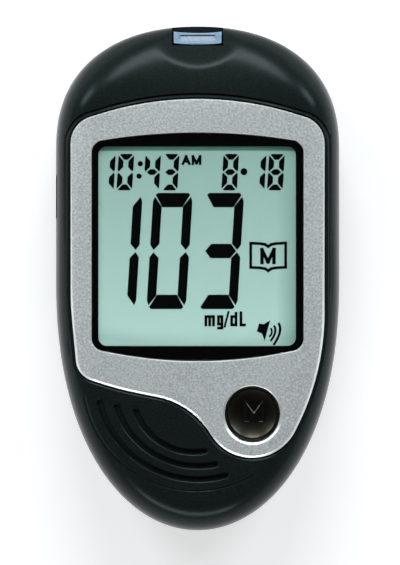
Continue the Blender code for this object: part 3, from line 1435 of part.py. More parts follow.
def build_speaker():
    paint([make_speaker_gasket()], material("foam_black", (0.03, 0.03, 0.03), 0.90))
    paint([make_speaker_frame()], material("speaker_steel", (0.45, 0.45, 0.46), 0.35, 1.0))
    paint([make_speaker_cone()], material("cone_film", (0.10, 0.09, 0.08), 0.30))
    paint([make_speaker_magnet()], material("magnet_grey", (0.30, 0.30, 0.31), 0.40, 0.8))
    paint([make_speaker_lead("speaker_lead_1", -1)], material("lead_red", (0.60, 0.04, 0.03), 0.40))
    paint([make_speaker_lead("speaker_lead_2", 1)], material("lead_black", (0.03, 0.03, 0.03), 0.40))


def build_power():
    cells = [make_cell("battery_cell_1", -1), make_cell("battery_cell_2", 1)]
    paint(cells, material("cell_wrap", (0.10, 0.22, 0.45), 0.30, 0.3))
    plates = [
        make_bridge_contact(),
        make_top_contact("positive_contact", -1),
        make_top_contact("negative_contact", 1),
    ]
    paint(plates, material("contact_nickel", (0.66, 0.65, 0.62), 0.25, 1.0))
    springs = [make_battery_spring("battery_spring_1", -1), make_battery_spring("battery_spring_2", 1)]
    paint(springs, material("spring_nickel", (0.66, 0.65, 0.62), 0.25, 1.0))


def build_screws():
    screws = [make_case_screw(f"case_screw_{index + 1}", place) for index, place in enumerate(screw_places())]
    paint(screws, material("screw_steel", (0.55, 0.55, 0.55), 0.30, 1.0))


def main():
    clear_scene()
    build_housings()
    build_display()
    build_buttons()
    build_electronics()
    build_speaker()
    build_power()
    build_screws()


main()
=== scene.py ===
import math

import bpy
import numpy as np
from mathutils import Matrix, Vector
from mathutils.geometry import delaunay_2d_cdt


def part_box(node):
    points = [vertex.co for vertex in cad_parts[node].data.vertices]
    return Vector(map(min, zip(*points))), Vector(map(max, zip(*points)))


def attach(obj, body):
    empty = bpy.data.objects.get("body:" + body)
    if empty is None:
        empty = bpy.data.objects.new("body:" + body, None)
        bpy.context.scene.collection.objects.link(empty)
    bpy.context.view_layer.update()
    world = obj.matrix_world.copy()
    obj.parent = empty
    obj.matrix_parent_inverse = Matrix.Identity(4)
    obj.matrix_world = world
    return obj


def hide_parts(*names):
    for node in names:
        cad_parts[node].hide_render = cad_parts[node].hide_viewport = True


# Looks of a handheld blood glucose meter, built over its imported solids.
# Shapes are worked out in millimetres in the solids' own frame, and scaled when a mesh is made.

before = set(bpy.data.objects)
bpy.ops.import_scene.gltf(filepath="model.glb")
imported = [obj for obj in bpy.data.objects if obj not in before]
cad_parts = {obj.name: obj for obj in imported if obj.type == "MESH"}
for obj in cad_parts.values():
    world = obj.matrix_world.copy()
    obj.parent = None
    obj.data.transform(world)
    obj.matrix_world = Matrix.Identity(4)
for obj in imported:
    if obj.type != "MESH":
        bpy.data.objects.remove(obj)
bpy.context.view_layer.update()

MM = 0.001


def box_mm(node):
    """Lowest and highest corner of a solid, in millimetres."""
    low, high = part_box(node)
    return Vector(low) / MM, Vector(high) / MM


def middle(low, high):
    """The middle of a box in plan."""
    return (low.x + high.x) / 2, (low.y + high.y) / 2


# Sizes read from the solids
FRONT_LOW, FRONT_HIGH = box_mm("front_housing")
WINDOW_LOW, WINDOW_HIGH = box_mm("display_window")
GLASS_LOW, GLASS_HIGH = box_mm("lcd_front_glass")
BUTTON_LOW, BUTTON_HIGH = box_mm("memory_button")
DATA_LOW, DATA_HIGH = box_mm("data_port")
CELL_LOW, CELL_HIGH = box_mm("battery_cell_1")
PORT_HIGH = box_mm("strip_port")[1]
DOOR_HIGH = box_mm("battery_door")[1]

GAP = 0.3
HALF_WIDTH = FRONT_HIGH.x
HALF_LENGTH = -FRONT_LOW.y
FRONT_BASE_Z = FRONT_LOW.z
REAR_BASE_Z = FRONT_BASE_Z - GAP
PLATE_HALF_WIDTH = box_mm("faceplate")[1].x
WINDOW_HALF_WIDTH = WINDOW_HIGH.x
WINDOW_SINK = 0.25
FACE_Z = WINDOW_HIGH.z + WINDOW_SINK

# Facets, and how far lines stay inside the body's edge
FACET_DEG = 6.0
ARC_STEP_DEG = 2.5
ARC_END_SIDES = 8
GRID = 1.5
GRID_CLEARANCE = 0.5
CDT_EPSILON = 1e-5
SLIVER_AREA = 1e-9
SHARP_DEG = 38
CLIP_STEPS = 60
CLIP_INSET = 0.003
LINE_INSET = 0.01

# Body outline and section
SHOULDER_SHARE = 0.5
TAIL_POWERS = (2.01, 2.26)
CAP_POWERS = (2.2, 2.46)
TAIL_STEPS = 64
SIDE_STEPS = 8
CAP_STEPS = 44
FRONT_REACH = 7.5
FRONT_POWER = 2.6
REAR_REACH = 7.0
REAR_POWER = 2.3
EDGE_STEPS = 16
WALL = 1.6
CROWN_RISE = 0.5
FALL_START_SHARE = 0.667
FALL_SHARE = 0.4

# Faceplate corners as (x, y, radius), x and radius in half widths, y in half lengths of the body
PLATE_CORNERS = (
    (-0.948, -0.383, 0.174), (-0.651, -0.436, 2.9), (-0.043, -0.495, 0.633),
    (0.463, -0.919, 0.381), (1.0, -0.366, 1.99), (1.0, 0.615, 0.216),
    (0.0, 0.767, 2.56), (-1.0, 0.615, 0.216), (-1.0, -0.104, 2.5),
)
PLATE_PROUD = 0.1
PLATE_THICKNESS = 1.0
DECK_THICKNESS = 1.0

# Chamfer of the faceplate: wide along its foot, narrow along its top
PLATE_EDGE = 0.42
PLATE_EDGE_TOP = 0.16
PLATE_EDGE_Y = (-12.0, 22.0)
PLATE_EDGE_DROP = 0.29
CHAMFER_SHARES = (0, 0.12, 0.3, 0.5, 0.7, 0.88, 1, 1.25)
CHAMFER_SOFTNESS = 0.48 / math.tau
# Painted highlight: shares of the chamfers on the faceplate's rim and round the button's hole that take a
# brighter silver
PAINTED_HIGHLIGHT_SHARE = 0.88
HOLE_PAINTED_HIGHLIGHT_SHARES = (0.1, 0.9)

# Lip of the faceplate's pocket: a chamfer, and along the top a line sunk beside it
LIP_ROUND = 0.36
LIP_DROP = 0.21
LIP_TOP_ROUND = 0.1
LIP_LINE_REACH = (0.1, 0.4, 0.5, 0.68, 0.88)
LIP_LINE_DEPTH = (0.0, 0.16, 0.36, 0.36, 0.0)
LIP_RINGS = (0, 0.05, 0.1, 0.15, 0.25, 0.34, 0.4, 0.5, 0.59, 0.68, 0.78, 0.88)
LIP_LINE_Y = (22.0, 29.0)

# Window, its clear field and its border
WINDOW_TOP = 0.5402 * HALF_LENGTH
WINDOW_FOOT = -0.2781 * HALF_LENGTH
WINDOW_TOP_BULGE_SHARE = 0.152
WINDOW_FOOT_BULGE_SHARE = 0.204
WINDOW_TOP_RADIUS_SHARE = 5.62
WINDOW_FOOT_RADIUS_SHARE = 4.21
WINDOW_CORNER_RADIUS = 2.4
WINDOW_EDGE = 0.05
OPENING_GAP = 0.04
OPENING_EDGE = 0.16
OPENING_SHARES = (0, 0.1, 0.4, 1, 2)
ROUND_SHARES = (0, 0.3, 1)
BORDER_LEFT = 1.3
BORDER_RIGHT = 1.48
BORDER_TOP = 0.9
BORDER_FOOT = 0.56
BORDER_PRINT = 0.06
FIELD_CORNER_RADIUS = 1.6
FILM_Z = WINDOW_LOW.z - 2 * BORDER_PRINT
FILM_INSET = 0.01
FILM_LIFT = 0.02
PANE_LIFT = 0.01

# Button, its hole in the pod and its mark
BUTTON_X, BUTTON_Y = middle(BUTTON_LOW, BUTTON_HIGH)
BUTTON_FLANGE = 0.6
BUTTON_REACH = (BUTTON_HIGH.x - BUTTON_LOW.x) / 2
BUTTON_RADIUS = BUTTON_REACH - BUTTON_FLANGE - 0.12
BUTTON_RIM = 0.175
BUTTON_RIM_SHARES = (0.6, 0.8)
BUTTON_DISH_SHARES = (1, 0.96, 0.92, 0.88, 0.8, 0.7, 0.6)
BUTTON_DISH = 1.15
BUTTON_LEAN = 0.05
BUTTON_SIDES = 96
BUTTON_GRID = 0.3 * GRID
BUTTON_GRID_SHARE = 0.58
HOLE_FOOT_RADIUS = BUTTON_RADIUS + 0.17
HOLE_TOP_RADIUS = 5.72
HOLE_FOOT_RISE = 0.18
HOLE_TOP_SINK = 0.12
HOLE_DROP = 0.42
HOLE_DROP_SHARES = (0.71, 0.29)
HOLE_PASSES = 8
MARK_SIZE = 3.35
MARK_STROKE = 0.62
MARK_HEIGHT = 0.14
MARK_WALL = 0.12
MARK_DIP_SHARE = 0.42
MARK_SHIFT = (0.28, 0.1)

# Thumb grooves and the crease round their pad, as (centre x, centre y, radius, start, end)
GROOVES = (
    (-0.7, -21.3, 11.68, 199.3, 279.8),
    (0.12, -19.34, 16.3, 197.8, 281.3),
    (0.09, -18.85, 19.3, 193.9, 285.6),
)
GROOVE_WIDTH = 1.5
GROOVE_DEPTH = 0.55
GROOVE_OUTER_WALL = ((0, 0.2, 0.36), (0, 0.2, 1))
GROOVE_INNER_WALL = ((0, 0.05, 0.2), (0, 0.15, 1))
GROOVE_TURN = 0.5
GROOVE_RINGS = (-0.45, -0.36, -0.28, -0.2, -0.12, -0.05, 0, 0.1)
CREASE = (-0.33, -18.95, 21.4, 186.0, 307.0)
CREASE_REACH = (-0.22, -0.1, 0.02, 0.28)
CREASE_DEPTH = (0.0, 0.15, 0.15, 0.0)
CREASE_LINES = (-0.32, -0.22, -0.16, -0.1, -0.04, 0.02, 0.15, 0.28, 0.38)
CREASE_FADE_DEG = 7.0

# Scoop round the strip port, the port's insert and its slot
SCOOP_RADIUS = 18.0
SCOOP_CHORD = 0.767 * SCOOP_RADIUS
SCOOP_BEYOND = 7.2
SCOOP_CENTRE_Y = HALF_LENGTH + SCOOP_BEYOND
SCOOP_RAYS = 90
SCOOP_RAY_STEPS = 400
SCOOP_BLEND = 1.7
SCOOP_OFFSETS = (-2, -1.5, -1.1, -0.7, -0.35, 0, 0.35, 0.7, 1.1, 1.5, 2)
PORT_DEPTH = 2.65
PORT_HALF = PORT_HIGH.x - 1.2
PORT_TOP_ROOM = 0.3
PORT_BOW = 0.25
PORT_BOW_STEPS = 17
PORT_EDGE = 0.12
SLOT_HALF_SHARE = 0.747
SLOT_SPAN = (0.62, 1.7)
SLOT_CORNER_RADIUS = 0.25
SLOT_DEPTH = 0.35

# Battery door with its grips, screw wells, speaker slots, lip and battery bay
DOOR_HALF_WIDTH = DOOR_HIGH.x - 0.8
DOOR_SIDE_FOOT = -0.86 * HALF_LENGTH - 3.2
DOOR_SIDE_STEPS = 60
DOOR_TOP_STEPS = 20
GRIP_COUNT = 4
GRIP_PITCH = 2.2
GRIP_WIDTH = 1.0
GRIP_DEPTH = 0.5
GRIP_WALL = 0.14
GRIP_RINGS = (-1.6, -1, 0, 0.6)
GRIP_HALF = 0.476 * DOOR_HALF_WIDTH - GRIP_WIDTH / 2
GRIP_START_Y = -0.625 * HALF_LENGTH
WELL_SIDES = 40
WELL_WALL = 0.9
WELL_FOOT = 0.4
WELL_FLOOR_RISE = 1.4
WELL_FLOOR = 1.0
WELL_HOLE_RADIUS = 1.2
SOUND_SLOT_REACH = 0.55
SOUND_SLOT_ROOM = 2.3
SOUND_SLOT_PITCH_SHARE = 0.267
HOLE_ROUNDING = 0.2
SEAM_LIP_FOOT = 1.6
SEAM_LIP_WIDTH = 0.8
BAY_SIDE_ROOM = 1.5
BAY_WALL = 1.0
BAY_LEDGE_BESIDE = 3.5
BAY_LEDGE_BEYOND = 1.5
BAY_LEDGE_THICKNESS = 1.2
BAY_WALL_RISE = 0.4
BAY_HOLE_RADIUS = 1.8


# Plan outlines


def polar(centre, reach, turn):
    """Points at a reach and a turn about a centre."""
    return np.column_stack((centre[0] + reach * np.cos(turn), centre[1] + reach * np.sin(turn)))


def outline(inset):
    """The body's closed outline, counter-clockwise from the tail's tip, moved inwards."""
    tail = math.pi / 2 * (1 - np.arange(TAIL_STEPS) / TAIL_STEPS)
    cap = math.pi / 2 * np.arange(CAP_STEPS + 1) / CAP_STEPS
    shoulder_y = SHOULDER_SHARE * HALF_LENGTH
    tail_x = HALF_WIDTH * np.cos(tail) ** (2 / TAIL_POWERS[0])
    tail_y = -HALF_LENGTH * np.sin(tail) ** (2 / TAIL_POWERS[1])
    side_y = shoulder_y * np.arange(SIDE_STEPS) / SIDE_STEPS
    cap_x = HALF_WIDTH * np.abs(np.cos(cap)) ** (2 / CAP_POWERS[0])
    cap_y = shoulder_y + (HALF_LENGTH - shoulder_y) * np.sin(cap) ** (2 / CAP_POWERS[1])
    x = np.concatenate((tail_x, np.full(SIDE_STEPS, HALF_WIDTH), cap_x))
    x[[0, -1]] = 0
    side = np.column_stack((x, np.concatenate((tail_y, side_y, cap_y))))
    return shifted(np.concatenate((side, side[-2:0:-1] * (-1, 1))), -inset)


def shifted(loop, outwards):
    """A closed counter-clockwise loop moved outwards along its normals."""
    along = np.roll(loop, -1, axis=0) - np.roll(loop, 1, axis=0)
    normal = np.column_stack((along[:, 1], -along[:, 0]))
    normal /= np.linalg.norm(normal, axis=1, keepdims=True)
    return loop + np.reshape(outwards, (-1, 1)) * normal


def rounded(corners):
    """A closed outline from (x, y, radius) corners, each replaced by its arc."""
    points = []
    places = [Vector(corner[:2]) for corner in corners]
    for index, corner in enumerate(places):
        arriving = (corner - places[index - 1]).normalized()
        leaving = (places[(index + 1) % len(places)] - corner).normalized()
        turn = -arriving.angle_signed(leaving, 0)
        radius = corners[index][2]
        start = corner - arriving * radius * math.tan(abs(turn) / 2)
        centre = start + Vector((-arriving.y, arriving.x)) * math.copysign(radius, turn)
        facets = math.ceil(abs(math.degrees(turn)) / FACET_DEG)
        steps = max(3, facets, math.ceil(abs(turn) * radius / GRID))
        for step in range(steps + 1):
            swing = Matrix.Rotation(turn * step / steps, 2)
            points.append(tuple(centre + swing @ (start - centre)))
    return np.array(points)


def circle(centre, radius, sides):
    return polar(centre, radius, math.tau * np.arange(sides) / sides)


def rectangle(low_x, low_y, high_x, high_y):
    return np.array(((low_x, low_y), (high_x, low_y), (high_x, high_y), (low_x, high_y)))


def arc_points(arc, offset):
    """Points along an arc, at an offset from its middle line."""
    start, end = arc[3:]
    turn = np.radians(np.linspace(start, end, math.ceil((end - start) / ARC_STEP_DEG) + 1))
    return polar(arc[:2], arc[2] + offset, turn)


def arc_loop(arc, distance):
    """The closed loop at a distance round an arc, with round ends."""
    caps = []
    for angle, swing in ((arc[4], 0), (arc[3], math.pi)):
        turn = math.radians(angle)
        bend = turn + swing + math.pi * np.arange(1, ARC_END_SIDES) / ARC_END_SIDES
        caps.append(polar(polar(arc[:2], arc[2], turn)[0], distance, bend))
    return np.concatenate((arc_points(arc, distance), caps[0], arc_points(arc, -distance)[::-1], caps[1]))


def window_outline():
    side, corner = WINDOW_HALF_WIDTH, WINDOW_CORNER_RADIUS
    return rounded((
        (-side, WINDOW_FOOT, corner),
        (0, WINDOW_FOOT - side * WINDOW_FOOT_BULGE_SHARE, side * WINDOW_FOOT_RADIUS_SHARE),
        (side, WINDOW_FOOT, corner),
        (side, WINDOW_TOP, corner),
        (0, WINDOW_TOP + side * WINDOW_TOP_BULGE_SHARE, side * WINDOW_TOP_RADIUS_SHARE),
        (-side, WINDOW_TOP, corner),
    ))


def field_outline():
    left, right = BORDER_LEFT - WINDOW_HALF_WIDTH, WINDOW_HALF_WIDTH - BORDER_RIGHT
    field = rectangle(left, WINDOW_FOOT + BORDER_FOOT, right, WINDOW_TOP - BORDER_TOP)
    return rounded([(x, y, FIELD_CORNER_RADIUS) for x, y in field])


BODY_LOOP = outline(0)
PLATE_LOOP = rounded([
    (x * PLATE_HALF_WIDTH, y * HALF_LENGTH, radius * PLATE_HALF_WIDTH) for x, y, radius in PLATE_CORNERS
])
POCKET_LOOP = shifted(PLATE_LOOP, GAP)
WINDOW_LOOP = window_outline()
FIELD_LOOP = field_outline()
OPENING_LOOP = shifted(WINDOW_LOOP, OPENING_GAP)


# Distances in plan


def line_distance(points, line, closed=True):
    """Distance of each point from a line of points."""
    starts = line if closed else line[:-1]
    along = (np.roll(line, -1, axis=0) if closed else line[1:]) - starts
    lengths = np.maximum((along**2).sum(axis=1), 1e-12)
    offset = points[:, None, :] - starts[None, :, :]
    share = np.clip((offset * along).sum(axis=2) / lengths, 0, 1)
    return np.sqrt(((offset - share[..., None] * along) ** 2).sum(axis=2).min(axis=1))


def inside(points, loop):
    """Whether each point lies inside a closed loop."""
    x, y = points[:, :1], points[:, 1:2]
    end = np.roll(loop, -1, axis=0)
    crosses = (loop[:, 1] > y) != (end[:, 1] > y)
    rise = np.where(end[:, 1] == loop[:, 1], 1, end[:, 1] - loop[:, 1])
    at_x = loop[:, 0] + (y - loop[:, 1]) * (end[:, 0] - loop[:, 0]) / rise
    return (crosses & (x < at_x)).sum(axis=1) % 2 == 1


def between(outer, *holes):
    """A test for points inside a loop, or anywhere where it is None, and outside the holes."""

    def keep(points):
        kept = np.ones(len(points), bool) if outer is None else inside(points, outer)
        for hole in holes:
            kept &= ~inside(points, hole)
        return kept

    return keep


def about(points, arc):
    """Distance of each point from an arc's centre, and its turn about it in degrees."""
    across = points - arc[:2]
    return np.linalg.norm(across, axis=1), np.degrees(np.arctan2(across[:, 1], across[:, 0])) % 360


def smooth(share):
    """A share eased in and out between 0 and 1."""
    share = np.clip(share, 0, 1)
    return share**2 * (3 - 2 * share)


def quarter_drop(distance, radius):
    """How far a rounded edge lies below its face, at a distance from the edge."""
    share = np.clip(1 - distance / radius, 0, 1)
    return radius * (1 - np.sqrt(1 - share**2))


def chamfer_share(share):
    """Share of its drop that a softened chamfer has, at a share of its width from the edge."""
    share = np.clip(1 - share, 0, 1)
    return share - CHAMFER_SOFTNESS * np.sin(math.tau * share)


# Surfaces


def depth(points):
    return line_distance(points, BODY_LOOP)


def edge_share(depths, reach, power):
    """Share of its full height that a rounded edge has at a depth inside the outline."""
    return (1 - np.clip(1 - depths / reach, 0, 1) ** power) ** (1 / power)


def depth_for_share(share, reach, power):
    """Depth inside the outline at which a rounded edge has a share of its height."""
    return reach * (1 - (1 - share**power) ** (1 / power))


def front_plain_z(points):
    """The crowned front face, which falls towards the strip port, with its rounded edge."""
    x, y = points[:, 0] / HALF_WIDTH, points[:, 1] / HALF_LENGTH
    fall = FALL_SHARE * smooth((y - FALL_START_SHARE) / (1 - FALL_START_SHARE))
    height = (FACE_Z - FRONT_BASE_Z + CROWN_RISE * (1 - x**2) * (1 - y**2)) * (1 - fall)
    return FRONT_BASE_Z + height * edge_share(depth(points), FRONT_REACH, FRONT_POWER)


def rear_plain_z(points):
    return REAR_BASE_Z * (1 - edge_share(depth(points), REAR_REACH, REAR_POWER))


SCOOP_CENTRE_Z = (
    float(front_plain_z(np.array(((0, SCOOP_CENTRE_Y - SCOOP_CHORD),)))[0])
    + math.sqrt(SCOOP_RADIUS**2 - SCOOP_CHORD**2)
)


def scoop_z(points):
    """The ball that hollows the end, above which nothing of the face is left."""
    across = np.hypot(points[:, 0], points[:, 1] - SCOOP_CENTRE_Y)
    reach = np.sqrt(np.maximum(SCOOP_RADIUS**2 - across**2, 0))
    return np.where(across < SCOOP_RADIUS, SCOOP_CENTRE_Z - reach, FACE_Z + SCOOP_RADIUS)


def scoop_lines():
    """The plan lines in which the ball leaves the face, found along rays from its centre."""
    lines = [], []
    reach = np.linspace(SCOOP_BEYOND / 2, SCOOP_RADIUS, SCOOP_RAY_STEPS)
    for turn in np.linspace(math.pi, math.tau, SCOOP_RAYS + 1)[1:-1]:
        points = polar((0, SCOOP_CENTRE_Y), reach, turn)
        hits = np.flatnonzero(inside(points, BODY_LOOP) & (front_plain_z(points) > scoop_z(points)))
        if len(hits):
            lines[0].append(points[hits[-1]])
            lines[1].append(points[hits[0]])
    return [np.array(line) for line in lines]


def blended_low(first, second, reach):
    """The lower of two heights, rounded over where they cross."""
    share = np.clip(0.5 + 0.5 * (second - first) / reach, 0, 1)
    return second * (1 - share) + first * share - reach * share * (1 - share)


def groove_depth(points, groove):
    """A thumb groove, its wall gentler on the side away from the arc's centre."""
    centre_distance, turn = about(points, groove)
    nearest = np.radians(np.clip(turn, groove[3], groove[4]))
    distance = np.linalg.norm(points - polar(groove[:2], groove[2], nearest), axis=1)
    from_edge = GROOVE_WIDTH / 2 - distance
    outer = np.clip(0.5 + (centre_distance - groove[2]) / GROOVE_TURN, 0, 1)
    walls = outer * np.interp(from_edge, *GROOVE_OUTER_WALL)
    walls += (1 - outer) * np.interp(from_edge, *GROOVE_INNER_WALL)
    return GROOVE_DEPTH * walls


def crease_depth(points):
    """The shallow groove round the thumb pad, fading out towards its ends."""
    distance, turn = about(points, CREASE)
    fade = np.clip(np.minimum(turn - CREASE[3], CREASE[4] - turn) / CREASE_FADE_DEG, 0, 1)
    return fade * np.interp(distance - CREASE[2], CREASE_REACH, CREASE_DEPTH)


def front_z(points):
    """The front face with its scoop, its grooves, its crease and the lip of the faceplate's pocket."""
    z = blended_low(front_plain_z(points), scoop_z(points), SCOOP_BLEND) - crease_depth(points)
    for groove in GROOVES:
        z -= groove_depth(points, groove)
    from_lip = line_distance(points, POCKET_LOOP)
    top = np.interp(points[:, 1], LIP_LINE_Y, (0, 1))
    line = np.interp(from_lip, LIP_LINE_REACH, LIP_LINE_DEPTH) + quarter_drop(from_lip, LIP_TOP_ROUND)
    return z - top * line - (1 - top) * LIP_DROP * chamfer_share(from_lip / LIP_ROUND)


# Meshes


def plan(loops, lines=(), loose=None, keep=None):
    """Points and triangles between closed loops, through open lines and loose points."""
    places, edges = [], []
    for line, closed in [(line, True) for line in loops] + [(line, False) for line in lines]:
        first = len(places)
        places.extend(line.tolist())
        count = len(line)
        edges.extend((first + index, first + (index + 1) % count) for index in range(count - (not closed)))
    if loose is not None:
        places.extend(loose.tolist())
    made = delaunay_2d_cdt([Vector(place) for place in places], edges, [], 0, CDT_EPSILON)
    points = np.array([tuple(place) for place in made[0]])
    triangles = np.array([face for face in made[2] if len(face) == 3])
    a, b, c = (points[triangles[:, corner]] for corner in range(3))
    area = (b[:, 0] - a[:, 0]) * (c[:, 1] - a[:, 1]) - (b[:, 1] - a[:, 1]) * (c[:, 0] - a[:, 0])
    triangles[area < 0] = triangles[area < 0][:, ::-1]
    triangles = triangles[np.abs(area) > SLIVER_AREA]
    if keep is not None:
        triangles = triangles[keep(points[triangles].mean(axis=1))]
    used, order = np.unique(triangles, return_inverse=True)
    return points[used], order.reshape(-1, 3)


def grid_points(loop, lines, spacing=GRID):
    """A square grid of points inside a loop and clear of the lines."""
    low, high = loop.min(axis=0), loop.max(axis=0)
    x, y = np.meshgrid(np.arange(low[0], high[0], spacing), np.arange(low[1], high[1], spacing))
    points = np.column_stack((x.ravel(), y.ravel()))
    points = points[inside(points, loop)]
    for line in lines:
        points = points[line_distance(points, line) > GRID_CLEARANCE * spacing]
    return points


def stacked(points, z):
    """Points in plan at a height, or each at its own."""
    return np.column_stack((points, np.broadcast_to(z, len(points))))


def closed_solid(face, back, triangles):
    """A closed solid from a face, the same face moved back, and the rim between them."""
    count = len(face)
    directed = set()
    for a, b, c in triangles.tolist():
        directed.update(((a, b), (b, c), (c, a)))
    rim = [(b, a, a + count, b + count) for a, b in directed if (b, a) not in directed]
    faces = triangles.tolist() + (triangles[:, ::-1] + count).tolist() + sorted(rim)
    return np.concatenate((face, back)), faces


def shell(points, triangles, top_z, plain_z, downwards=False):
    """A wall from the detailed face to the plain face moved inwards by the wall's thickness."""
    order = triangles[:, ::-1] if downwards else triangles
    plain = stacked(points, plain_z)
    corners = plain[order]
    across = np.cross(corners[:, 1] - corners[:, 0], corners[:, 2] - corners[:, 0])
    normal = np.zeros_like(plain)
    for corner in range(3):
        np.add.at(normal, order[:, corner], across)
    normal /= np.maximum(np.linalg.norm(normal, axis=1, keepdims=True), 1e-12)
    return closed_solid(stacked(points, top_z), plain - WALL * normal, order)


def slab(points, triangles, top_z, low_z):
    """A closed solid between a face and an underside straight below it."""
    return closed_solid(stacked(points, top_z), stacked(points, low_z), triangles)


def bands(rows, sides, closed=True):
    """Quads between rows of points, each row joined to the next."""
    faces = []
    for row in range(rows if closed else rows - 1):
        first, second = row * sides, (row + 1) % rows * sides
        for index in range(sides):
            after = (index + 1) % sides
            faces.append((first + index, first + after, second + after, second + index))
    return faces


def loft(loops):
    """A closed tube through loops of equal length, from the last back to the first."""
    return np.concatenate(loops), bands(len(loops), len(loops[0]))


def disc(centre, radius, low, high, sides=64):
    """A flat round solid, its ends closed by fans."""
    ring = circle(centre, radius, sides)
    faces = bands(2, sides, False)
    for index in range(sides):
        after = (index + 1) % sides
        faces.append((2 * sides, after, index))
        faces.append((2 * sides + 1, sides + index, sides + after))
    ends = ((*centre, low), (*centre, high))
    return np.concatenate((stacked(ring, low), stacked(ring, high), ends)), faces


def merged(parts):
    """Several meshes as one list of vertices and faces."""
    verts, faces, first = [], [], 0
    for part_verts, part_faces in parts:
        verts.append(part_verts)
        faces.extend(tuple(corner + first for corner in face) for face in part_faces)
        first += len(part_verts)
    return np.concatenate(verts), faces


def piece(name, shape, paint, body="meter", replaces=()):
    """A mesh object of the part, riding on a body."""
    verts, faces = shape
    mesh = bpy.data.meshes.new(name)
    mesh.from_pydata((np.asarray(verts, float) * MM).tolist(), [], [tuple(face) for face in faces])
    mesh.validate()
    mesh.materials.append(paint)
    mesh.shade_smooth()
    mesh.set_sharp_from_angle(angle=math.radians(SHARP_DEG))
    made = bpy.data.objects.new(name, mesh)
    bpy.context.scene.collection.objects.link(made)
    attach(made, body)
    if replaces:
        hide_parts(*replaces)
    return made


# Materials


def feed(tree, node, inputs):
    """Sets a node's inputs, each to a number, a colour or another node's output."""
    for name, value in inputs.items():
        if isinstance(value, bpy.types.NodeSocket):
            tree.links.new(value, node.inputs[name])
        else:
            node.inputs[name].default_value = (*value, 1) if isinstance(value, tuple) else value


def add_node(tree, kind, inputs):
    made = tree.nodes.new("ShaderNode" + kind)
    feed(tree, made, inputs)
    return made


def maths(tree, operation, *values):
    made = add_node(tree, "Math", dict(enumerate(values)))
    made.operation = operation
    return made.outputs[0]


def new_material(name):
    made = bpy.data.materials.new(name)
    made.use_nodes = True
    return made, made.node_tree, made.node_tree.nodes["Principled BSDF"]


def split_place(tree, kind="Object"):
    """The X, Y and Z outputs of a set of coordinates."""
    place = tree.nodes.new("ShaderNodeTexCoord").outputs[kind]
    return add_node(tree, "SeparateXYZ", {"Vector": place}).outputs


def noise(tree, size_mm, detail=2.0):
    """Noise on the object's own coordinates, with features of about a size."""
    place = tree.nodes.new("ShaderNodeTexCoord").outputs["Object"]
    inputs = {"Vector": place, "Scale": 1 / (size_mm * MM), "Detail": detail}
    return add_node(tree, "TexNoise", inputs).outputs["Fac"]


def spread(tree, factor, low, high, from_low=0.3, from_high=0.7):
    """The factor stretched to a range."""
    inputs = {"Value": factor, "From Min": from_low, "From Max": from_high, "To Min": low, "To Max": high}
    return add_node(tree, "MapRange", inputs).outputs["Result"]


def blended(tree, factor, first, second):
    """A colour between two, each a colour or a socket."""
    step = tree.nodes.new("ShaderNodeMix")
    step.data_type = "RGBA"
    feed(tree, step, {"Factor": factor, 6: first, 7: second})
    return step.outputs[2]


def bumped(tree, height, strength, distance_mm):
    inputs = {"Strength": strength, "Distance": distance_mm * MM, "Height": height}
    return add_node(tree, "Bump", inputs).outputs["Normal"]


def scaled(colour, factor):
    return tuple(channel * factor for channel in colour)


def finish(name, colour, roughness, metallic=0.0, grain=0.3, bump=0.3, mottle=0.08, clear=0.0, spec=0.5,
           tint=(1, 1, 1)):
    """Moulded plastic, metal or glass: a clouded colour, uneven roughness and a fine grain."""
    made, tree, shader = new_material(name)
    cloud = noise(tree, 7 * grain + 2)
    speck = noise(tree, grain)
    feed(tree, shader, {
        "Base Color": blended(
            tree, spread(tree, speck, 0, 1), scaled(colour, 1 - mottle), scaled(colour, 1 + mottle)),
        "Roughness": spread(tree, cloud, roughness * 0.97, roughness * 1.03),
        "Normal": bumped(tree, speck, bump, 0.1 * grain),
        "Metallic": metallic,
        "Specular IOR Level": spec,
        "Specular Tint": tint,
        "Transmission Weight": clear,
    })
    return made


def silver_paint():
    """Metallic paint: fine light and dark flakes over a soft sheen."""
    made, tree, shader = new_material("silver_paint")
    flake = noise(tree, 0.36, 3)
    feed(tree, shader, {
        "Base Color": blended(tree, spread(tree, flake, 0, 1), (0.45, 0.47, 0.47), (0.78, 0.81, 0.81)),
        "Roughness": spread(tree, noise(tree, 9), 0.44, 0.5),
        "Normal": bumped(tree, flake, 0.22, 0.012),
        "Metallic": 0.4,
    })
    return made


def display_ground_painted_shade():
    """The display's ground: grey-green, with painted light and shade: lighter to the foot, painted shade
    towards its right edge and a painted shadow along its top edge.
    """
    made, tree, shader = new_material("display_ground_painted_shade")
    x, y, _ = split_place(tree)
    # Painted light and shade: the ground is lighter towards the foot and darker towards the top.
    down = spread(tree, y, 0, 1, GLASS_LOW.y * MM, GLASS_HIGH.y * MM)
    painted_shade_tone = blended(tree, down, (0.60, 0.87, 0.78), (0.31, 0.49, 0.43))
    # Painted shade: darker towards the right edge.
    side = GLASS_HIGH.x - 1.4
    right = spread(tree, x, 0, 0.9, (side - 3.5) * MM, side * MM)
    painted_shade_tone = blended(tree, right, painted_shade_tone, (0.26, 0.44, 0.36))
    # Painted shadow: a dark band along the top edge, standing for the shadow cast by the window's border.
    edge = FIELD_LOOP[:, 1].max()
    painted_top_shadow = spread(tree, y, 0, 0.9, (edge - 0.95) * MM, (edge - 0.7) * MM)
    painted_shade_tone = blended(tree, painted_top_shadow, painted_shade_tone, (0.03, 0.11, 0.08))
    speck = spread(tree, noise(tree, 0.25, 3), 0, 0.16)
    feed(tree, shader, {
        "Base Color": blended(tree, speck, painted_shade_tone, (0.25, 0.46, 0.38)),
        "Roughness": 0.55,
        "Specular IOR Level": 0.2,
    })
    return made


